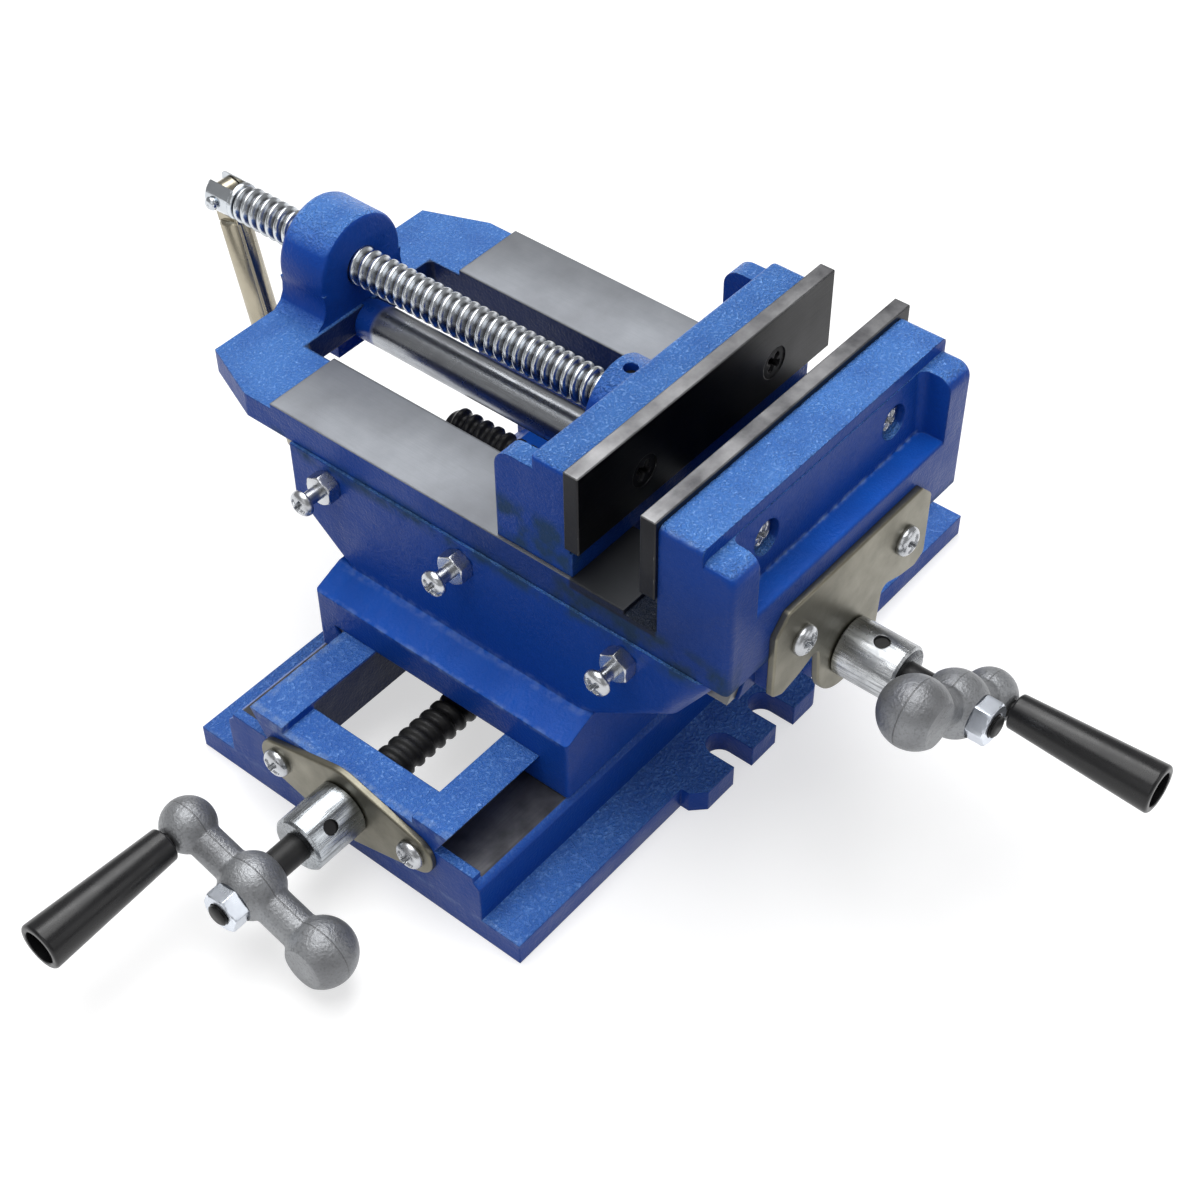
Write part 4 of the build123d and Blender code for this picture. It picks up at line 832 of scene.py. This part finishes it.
# %% [markdown]
# The clamping screw is one turned bar. Its plain front end has a groove that the retaining
# screw runs in, then comes the thread, then a short neck under the head. The head is forked:
# two prongs stand beside a slot for the handle bar, and their ends are chamfered.


# %% Clamping screw
JAW_AXIS, JAW_AROUND = np.array([VISE_X, 0.0, JAW_Z]), 56
END_R, JOURNAL_R, GROOVE_R = 0.0044, 0.0052, 0.0036
JAW_CREST, JAW_DEPTH, JAW_PITCH = 0.0069, 0.0017, 0.004
HALF_SLOT, HEAD_R, HEAD_CHAMFER = 0.0032, 0.0069, 0.0016
journal = [
    (END_R, -0.0356), (JOURNAL_R, -0.0348), (JOURNAL_R, -0.0224), (GROOVE_R, -0.0224),
    (GROOVE_R, -0.019), (JOURNAL_R, -0.019), (JOURNAL_R, -0.0145), (0.0054, -0.0144)
]
neck = [(0.0065, 0.1517), (HEAD_R, 0.1524), (HEAD_R, 0.1533)]
front = turned_points(journal, JAW_AXIS, Y_AXES, JAW_AROUND)
thread = thread_points(
    JAW_AXIS, Y_AXES, -0.0143, 0.1515, JAW_CREST, JAW_DEPTH, JAW_PITCH, JAW_AROUND
)
rear = turned_points(neck, JAW_AXIS, Y_AXES, JAW_AROUND)
screw = np.concatenate([front, thread, rear])
plated = finishes["thread_plate"]
grid_mesh("jaw_screw_thread", screw, plated, "clamp_screw", ("jaw_screw",))


def fork_prong(side):
    """A slice of the head's cylinder beside the slot, |x| >= HALF_SLOT, chamfered at its end."""
    edge = math.acos(HALF_SLOT / HEAD_R)
    arc = np.linspace(-edge, edge, 25)
    wall = np.linspace(1, -1, 11)[1:-1] * math.sin(edge)
    x = np.concatenate([HEAD_R * np.cos(arc), np.full_like(wall, HALF_SLOT)])
    z = np.concatenate([HEAD_R * np.sin(arc), HEAD_R * wall])
    rows = []
    for y, chamfer in ((0.15325, 0), (0.1535, 0), (0.1641, 0), (0.1657, HEAD_CHAMFER)):
        shrink = np.minimum((HEAD_R - chamfer) / np.hypot(x, z), 1.0)
        out = side * np.maximum(x * shrink, HALF_SLOT)
        rows.append(np.stack([VISE_X + out, np.full_like(x, y), JAW_Z + z * shrink], axis=-1))
    return np.array(rows)


for side, label in ((-1, "left"), (1, "right")):
    name = "jaw_screw_prong_" + label
    grid_mesh(name, fork_prong(side), finishes["bright_plate"], "clamp_screw")
print("clamping screw", len(screw), "rows")

# %% [markdown]
# Each lead screw is a black bar. Outside it carries a short threaded stud for the crank nut,
# the seat of the crank and a journal through the end plate; inside, its wide shallow thread
# runs through the lead nut. The two differ only in their places.

# %% Lead screws
LEAD_CREST, LEAD_DEPTH, LEAD_PITCH, LEAD_AROUND = 0.0066, 0.0011, 0.005, 48
STUD_CREST, STUD_GROOVE, SEAT_R, LEAD_JOURNAL_R = 0.0038, 0.0033, 0.004, 0.005
lower_axis, upper_axis = np.array([0.0, 0.0, LOWER_Z]), np.array([VISE_X, 0.0, UPPER_Z])
for name, axis, axes, hub, face, tip in (
    ("lower_lead_screw", lower_axis, X_AXES, LOWER_HUB[0], -0.1252, 0.085),
    ("upper_lead_screw", upper_axis, Y_AXES, UPPER_HUB[1], -0.105, 0.057),
):
    nut_face = hub - 0.014
    shaft = [
        (0.003, nut_face - 0.0015), (0.0036, nut_face - 0.0011), (STUD_CREST, nut_face - 0.0009),
        (STUD_GROOVE, nut_face - 0.0005), (STUD_CREST, nut_face - 0.0001),
        (STUD_GROOVE, nut_face + 0.0003), (SEAT_R, nut_face + 0.0006), (SEAT_R, hub + 0.0085),
        (LEAD_JOURNAL_R, hub + 0.0085), (LEAD_JOURNAL_R, face + 0.0002), (0.0059, face + 0.0002)
    ]
    thread = thread_points(
        axis, axes, face + 0.0004, tip, LEAD_CREST, LEAD_DEPTH, LEAD_PITCH, LEAD_AROUND,
        step=0.0004, sharp=1.0, flat=1.5
    )
    points = np.concatenate([turned_points(shaft, axis, axes, LEAD_AROUND), thread])
    body = name[:5] + "_drive"
    grid_mesh(name + "_thread", points, finishes["black_steel"], body, (name,))
    print(name, "rides on", body)

# %% [markdown]
# ## Screw heads
# Pan heads are domes with a cross pressed in. The dome is a polar grid of heights, and the
# cross lowers the height near two lines at right angles. The two screws of the movable plate
# are countersunk: their heads are flat and a cone leads down to the shank.


# %% Cross-head screws
ARM_END, WALL_SHARE = 0.0003, 0.45
SCREW_AROUND, HEAD_RINGS = 40, 15
CROSS_REACH, CROSS_HALF_WIDTH, CROSS_DEPTH = 0.62, 0.17, 0.5


def cross_shape(x, y, head_radius):
    """1 inside a cross of two bars, less at its sloping walls, 0 outside."""
    reach, half_width = head_radius * CROSS_REACH, head_radius * CROSS_HALF_WIDTH

    def bar(across, along):
        wall = np.clip((half_width - np.abs(across)) / (half_width * WALL_SHARE), 0, 1)
        return wall * np.clip((reach - np.abs(along)) / ARM_END, 0, 1)

    return np.maximum(bar(x, y), bar(y, x))


def screw_points(origin, axes, sizes, turn, flat):
    """Shank rings, then head rings: h = H (0.3 + 0.7 sqrt(1 - s^2.4)), s from rim 1 to middle 0."""
    head_radius, head_height, shank_radius, shank_length = sizes
    t = angles(SCREW_AROUND)
    share = np.linspace(1, 0.02, HEAD_RINGS)[:, None]
    r = share * head_radius
    if flat:
        h = head_height
        chamfer, cone_foot = 0.0004, head_height - (head_radius - shank_radius)
        shoulder = [(shank_radius, cone_foot), (head_radius, head_height - 0.0001)]
    else:
        chamfer = 0.0005
        h = head_height * (0.30 + 0.70 * np.sqrt(np.clip(1 - share**2.4, 0, 1)))
        shoulder = [(shank_radius, 0.0), (head_radius * 0.97, 0.0), (head_radius, 0.0003)]
    cross = cross_shape(r * np.cos(t + turn), r * np.sin(t + turn), head_radius)
    head = round_axis(r, t, h - cross * head_radius * CROSS_DEPTH, origin, axes)
    tip = [(0.5 * shank_radius, -shank_length), (shank_radius, -shank_length + chamfer)]
    return np.concatenate([turned_points(tip + shoulder, origin, axes, SCREW_AROUND), head])


print("screw grid ready")

# %% [markdown]
# Six sets of screws hold the vise together: two rows press on the gibs, two pairs hold the
# end plates and two pairs hold the jaw plates. In each set the first piece stands for the
# node, and every screw stopped at another angle when it was driven home.

# %% Screw sets
LEFT_AXES = axes_of((-1, 0, 0), (0, 1, 0))
FRONT_AXES = axes_of((0, -1, 0), (1, 0, 0))
SIDE_X, REAR_Y, GIB_HEAD_OUT = VISE_X - 0.0611, 0.0547, 0.0114
UPPER_GIB_Z, LOWER_GIB_Z, PLATE_SCREW_Z, JAW_SCREW_Z = 0.091, 0.034, 0.099, 0.136
GIB_YS, GIB_XS = (0.0547, -0.0023, -0.0673), (-0.052, 0.0, 0.052)
PLATE_YS, PLATE_XS, JAW_XS = (-0.0295, 0.0295), (-0.027, 0.027), (-0.032, 0.032)
LOWER_PLATE_X, UPPER_PLATE_Y = -0.1277, -0.1075
MOVABLE_FACE_Y, FIXED_FIELD_Y = -0.051, -0.0914
FIRST_TURN, TURN_STEP = 0.5, 1.7
upper_gib = [(SIDE_X - GIB_HEAD_OUT, y, UPPER_GIB_Z) for y in GIB_YS]
lower_gib = [(VISE_X + x, REAR_Y + GIB_HEAD_OUT, LOWER_GIB_Z) for x in GIB_XS]
lower_plate = [(LOWER_PLATE_X, y, LOWER_Z) for y in PLATE_YS]
upper_plate = [(VISE_X + x, UPPER_PLATE_Y, PLATE_SCREW_Z) for x in PLATE_XS]
movable_plate = [(PLATE_X + x, MOVABLE_FACE_Y, JAW_SCREW_Z) for x in JAW_XS]
fixed_field = [(PLATE_X + x, FIXED_FIELD_Y, JAW_SCREW_Z) for x in JAW_XS]
END_PLATE_SCREW = (0.0052, 0.0036, 0.00245, 0.012)
for node, body, places, axes, sizes in (
    ("upper_gib_screws", "saddle_body", upper_gib, LEFT_AXES, (0.0046, 0.0032, 0.0025, 0.0226)),
    ("lower_gib_screws", "saddle_body", lower_gib, Y_AXES, (0.0046, 0.0032, 0.0025, 0.0205)),
    ("lower_plate_screws", "base_body", lower_plate, LEFT_AXES, END_PLATE_SCREW),
    ("upper_plate_screws", "vise", upper_plate, FRONT_AXES, END_PLATE_SCREW),
    ("movable_jaw_screws", "jaw", movable_plate, FRONT_AXES, (0.0056, -0.0003, 0.003, 0.014)),
    ("fixed_jaw_screws", "vise", fixed_field, FRONT_AXES, (0.0056, 0.0024, 0.003, 0.0164)),
):
    flat = node == "movable_jaw_screws"
    finish = finishes["dull_zinc" if flat else "zinc_plate"]
    for k, place in enumerate(places):
        points = screw_points(np.array(place), axes, sizes, FIRST_TURN + TURN_STEP * k, flat)
        grid_mesh(f"{node}_{k + 1}", points, finish, body, (node,) if k == 0 else ())
    print(node, len(places))

# %% [markdown]
# ## Hexagon nuts
# A nut is a ring whose outline is a hexagon. Its corners are cut by a chamfer: near both
# faces the radius is no more than a cone allows. The small nuts lock the gib screws; the two
# brighter ones hold the cranks.


# %% Nuts
HEX_SHARES = (0.0, 0.0, 0.06, 0.14, 0.86, 0.94, 1.0, 1.0)
CONE_SHARES = (0.0, 0.0, 0.05, 0.12, 0.12, 0.05, 0.0, 0.0)


def nut_points(origin, axes, across, height, bore):
    """r = min(across / (2 cos a), cone), with a the angle from the middle of a flat."""
    t = angles(72)
    sector = (t + np.pi / 6) % (np.pi / 3) - np.pi / 6
    hexagon = across / 2 / np.cos(sector)
    cone = across * (0.505 + np.array(CONE_SHARES)[:, None])
    r = np.minimum(hexagon, cone)
    r[[0, -1]] = bore
    return round_axis(r, t, np.array(HEX_SHARES)[:, None] * height, origin, axes)


GIB_NUT, CRANK_NUT, NUT_SEAT = (0.010, 0.0052, 0.00252), (0.013, 0.0065, 0.00402), 0.0075
lower_seat = LOWER_HUB + NUT_SEAT * LOWER_AXES[:, 2]
upper_seat = UPPER_HUB + NUT_SEAT * UPPER_AXES[:, 2]
upper_places = [(SIDE_X, y, UPPER_GIB_Z) for y in GIB_YS]
lower_places = [(VISE_X + x, REAR_Y, LOWER_GIB_Z) for x in GIB_XS]
for node, body, places, axes, sizes, finish in (
    ("upper_gib_nuts", "saddle_body", upper_places, LEFT_AXES, GIB_NUT, "zinc_plate"),
    ("lower_gib_nuts", "saddle_body", lower_places, Y_AXES, GIB_NUT, "zinc_plate"),
    ("lower_crank_nut", "lower_drive", [lower_seat], LOWER_AXES, CRANK_NUT, "nut_zinc"),
    ("upper_crank_nut", "upper_drive", [upper_seat], UPPER_AXES, CRANK_NUT, "nut_zinc"),
):
    for k, place in enumerate(places):
        name = node + "_hex" if len(places) == 1 else f"{node}_{k + 1}_hex"
        points = nut_points(np.array(place), axes, *sizes)
        grid_mesh(name, points, finishes[finish], body, (node,) if k == 0 else (), ring=True)
    print(node, len(places))

# %% [markdown]
# ## Grips
# A grip is a turned taper with rounded rims. Its profile runs out along the taper, over the
# rim, into the hollow of the free end and back to the bore.

# %% Turned grips
START, END, BORE, HOLLOW_R, HOLLOW_FLOOR = 0.0096, 0.0601, 0.00302, 0.0059, 0.0451
SMALL_RIM, LARGE_RIM = 0.0008, 0.0011
bend = np.linspace(0, np.pi / 2, 7)
small = np.stack([0.0052 + SMALL_RIM * np.sin(bend), START + SMALL_RIM * (1 - np.cos(bend))], axis=1)
large = np.stack([0.00715 + LARGE_RIM * np.cos(bend), END - LARGE_RIM * (1 - np.sin(bend))], axis=1)
hollow = [(0.0062, END), (HOLLOW_R, END - 0.0003), (HOLLOW_R, HOLLOW_FLOOR), (BORE, HOLLOW_FLOOR)]
profile = np.concatenate([[(BORE, START)], small, large, hollow])
for name, ball, axes in (("lower_grip", LOWER_BALL, LOWER_AXES), ("upper_grip", UPPER_BALL, UPPER_AXES)):
    points = turned_points(profile, ball, axes, 64)
    grid_mesh(name + "_moulded", points, grip_black, name + "_body", (name,), ring=True)
print("grips made")

# %% [markdown]
# ## Floor
# A pale floor carries the shadow. Far out it glows white, as the paper does in a catalogue
# picture; the glow is seen, also in the plated pieces, but casts no light.

# %% Floor
FLOOR_GREY, GLOW_NEAR, GLOW_FAR = (0.52, 0.52, 0.52), 0.5, 2.5
REACH, SINK = 40.0, -0.0002
floor_material, tree, shader = start_material("studio_floor")
feed(tree, shader, {"Base Color": (*FLOOR_GREY, 1.0), "Roughness": 0.9, "Specular IOR Level": 0.0})
rays = put(tree, "ShaderNodeLightPath").outputs
seen = calc(tree, "MAXIMUM", rays["Is Camera Ray"], rays["Is Glossy Ray"])
seen = calc(tree, "MAXIMUM", seen, rays["Is Transmission Ray"])
distance = vector_math(tree, "LENGTH", object_place(tree), output="Value")
glow = ramp(tree, distance, GLOW_NEAR, GLOW_FAR, 0.6, 1.0)
strength = times(tree, seen, glow)
feed(tree, shader, {"Emission Color": (1.0, 1.0, 1.0, 1.0), "Emission Strength": strength})
floor_mesh = bpy.data.meshes.new("floor")
corners = [(x * REACH, y * REACH, SINK) for x, y in ((-1, -1), (1, -1), (1, 1), (-1, 1))]
floor_mesh.from_pydata(corners, [], [(0, 1, 2, 3)])
floor_mesh.materials.append(floor_material)
floor = add_to_scene("floor", floor_mesh)
print("floor", floor.name)

# %% [markdown]
# ## Lamps and world
# One large soft lamp hangs overhead and one behind the vise makes the tops shine; two weak
# ones lift the sides. A dim white world fills what they leave.

# %% Lamps and world
AIM = Vector((0, 0, 0.08))
lamps = (
    ("overhead", (-0.1, 0.1, 1.5), 1.3, 16.0),
    ("rear_key", (0.5, 0.5, 1.35), 0.9, 9.0),
    ("left_fill", (-1.3, -0.3, 0.8), 0.9, 1.8),
    ("right_fill", (0.5, -1.4, 0.8), 0.9, 2.4),
)
for name, place, size, watts in lamps:
    lamp = bpy.data.lights.new(name, "AREA")
    lamp.size = size
    lamp.energy = watts
    thing = add_to_scene(name, lamp)
    thing.location = place
    thing.rotation_euler = (AIM - Vector(place)).to_track_quat("-Z", "Y").to_euler()
world = bpy.data.worlds.new("studio")
world.use_nodes = True
background = world.node_tree.nodes["Background"]
feed(world.node_tree, background, {"Color": (1.0, 1.0, 1.0, 1.0), "Strength": 0.34})
bpy.context.scene.world = world
print("lamps", len(lamps))

# %% [markdown]
# ## Camera
# The camera stands where the photographer stood, solved from the straight edges of the vise:
# its place, the direction it looks in, a slight roll, and its focal length in pixels of the
# square picture.

# %% Camera
PICTURE_PIXELS, FOCAL_PIXELS, SENSOR_WIDTH = 1200, 2151.9, 36.0
CAMERA_PLACE = (-0.4075, -0.3401, 0.5604)
azimuth, elevation, roll = math.radians(-50.182), math.radians(45.657), math.radians(-0.422)
camera_data = bpy.data.cameras.new("photographer")
camera_data.sensor_width = SENSOR_WIDTH
camera_data.lens = FOCAL_PIXELS / PICTURE_PIXELS * SENSOR_WIDTH
camera_data.clip_start, camera_data.clip_end = 0.05, 100.0
flat_back = Vector((math.sin(azimuth), -math.cos(azimuth), 0.0))
back = flat_back * math.cos(elevation) + Vector((0.0, 0.0, math.sin(elevation)))
right = (-back).cross(Vector((0, 0, 1))).normalized()
upward = right.cross(-back)
right_rolled = right * math.cos(roll) + upward * math.sin(roll)
up_rolled = upward * math.cos(roll) - right * math.sin(roll)
turn = Matrix((right_rolled, up_rolled, back)).transposed()
camera = add_to_scene("photographer", camera_data)
camera.matrix_world = Matrix.Translation(CAMERA_PLACE) @ turn.to_4x4()
bpy.context.scene.camera = camera
bpy.context.scene.view_settings.view_transform = "Standard"
print("camera at", [round(v, 3) for v in camera.location])
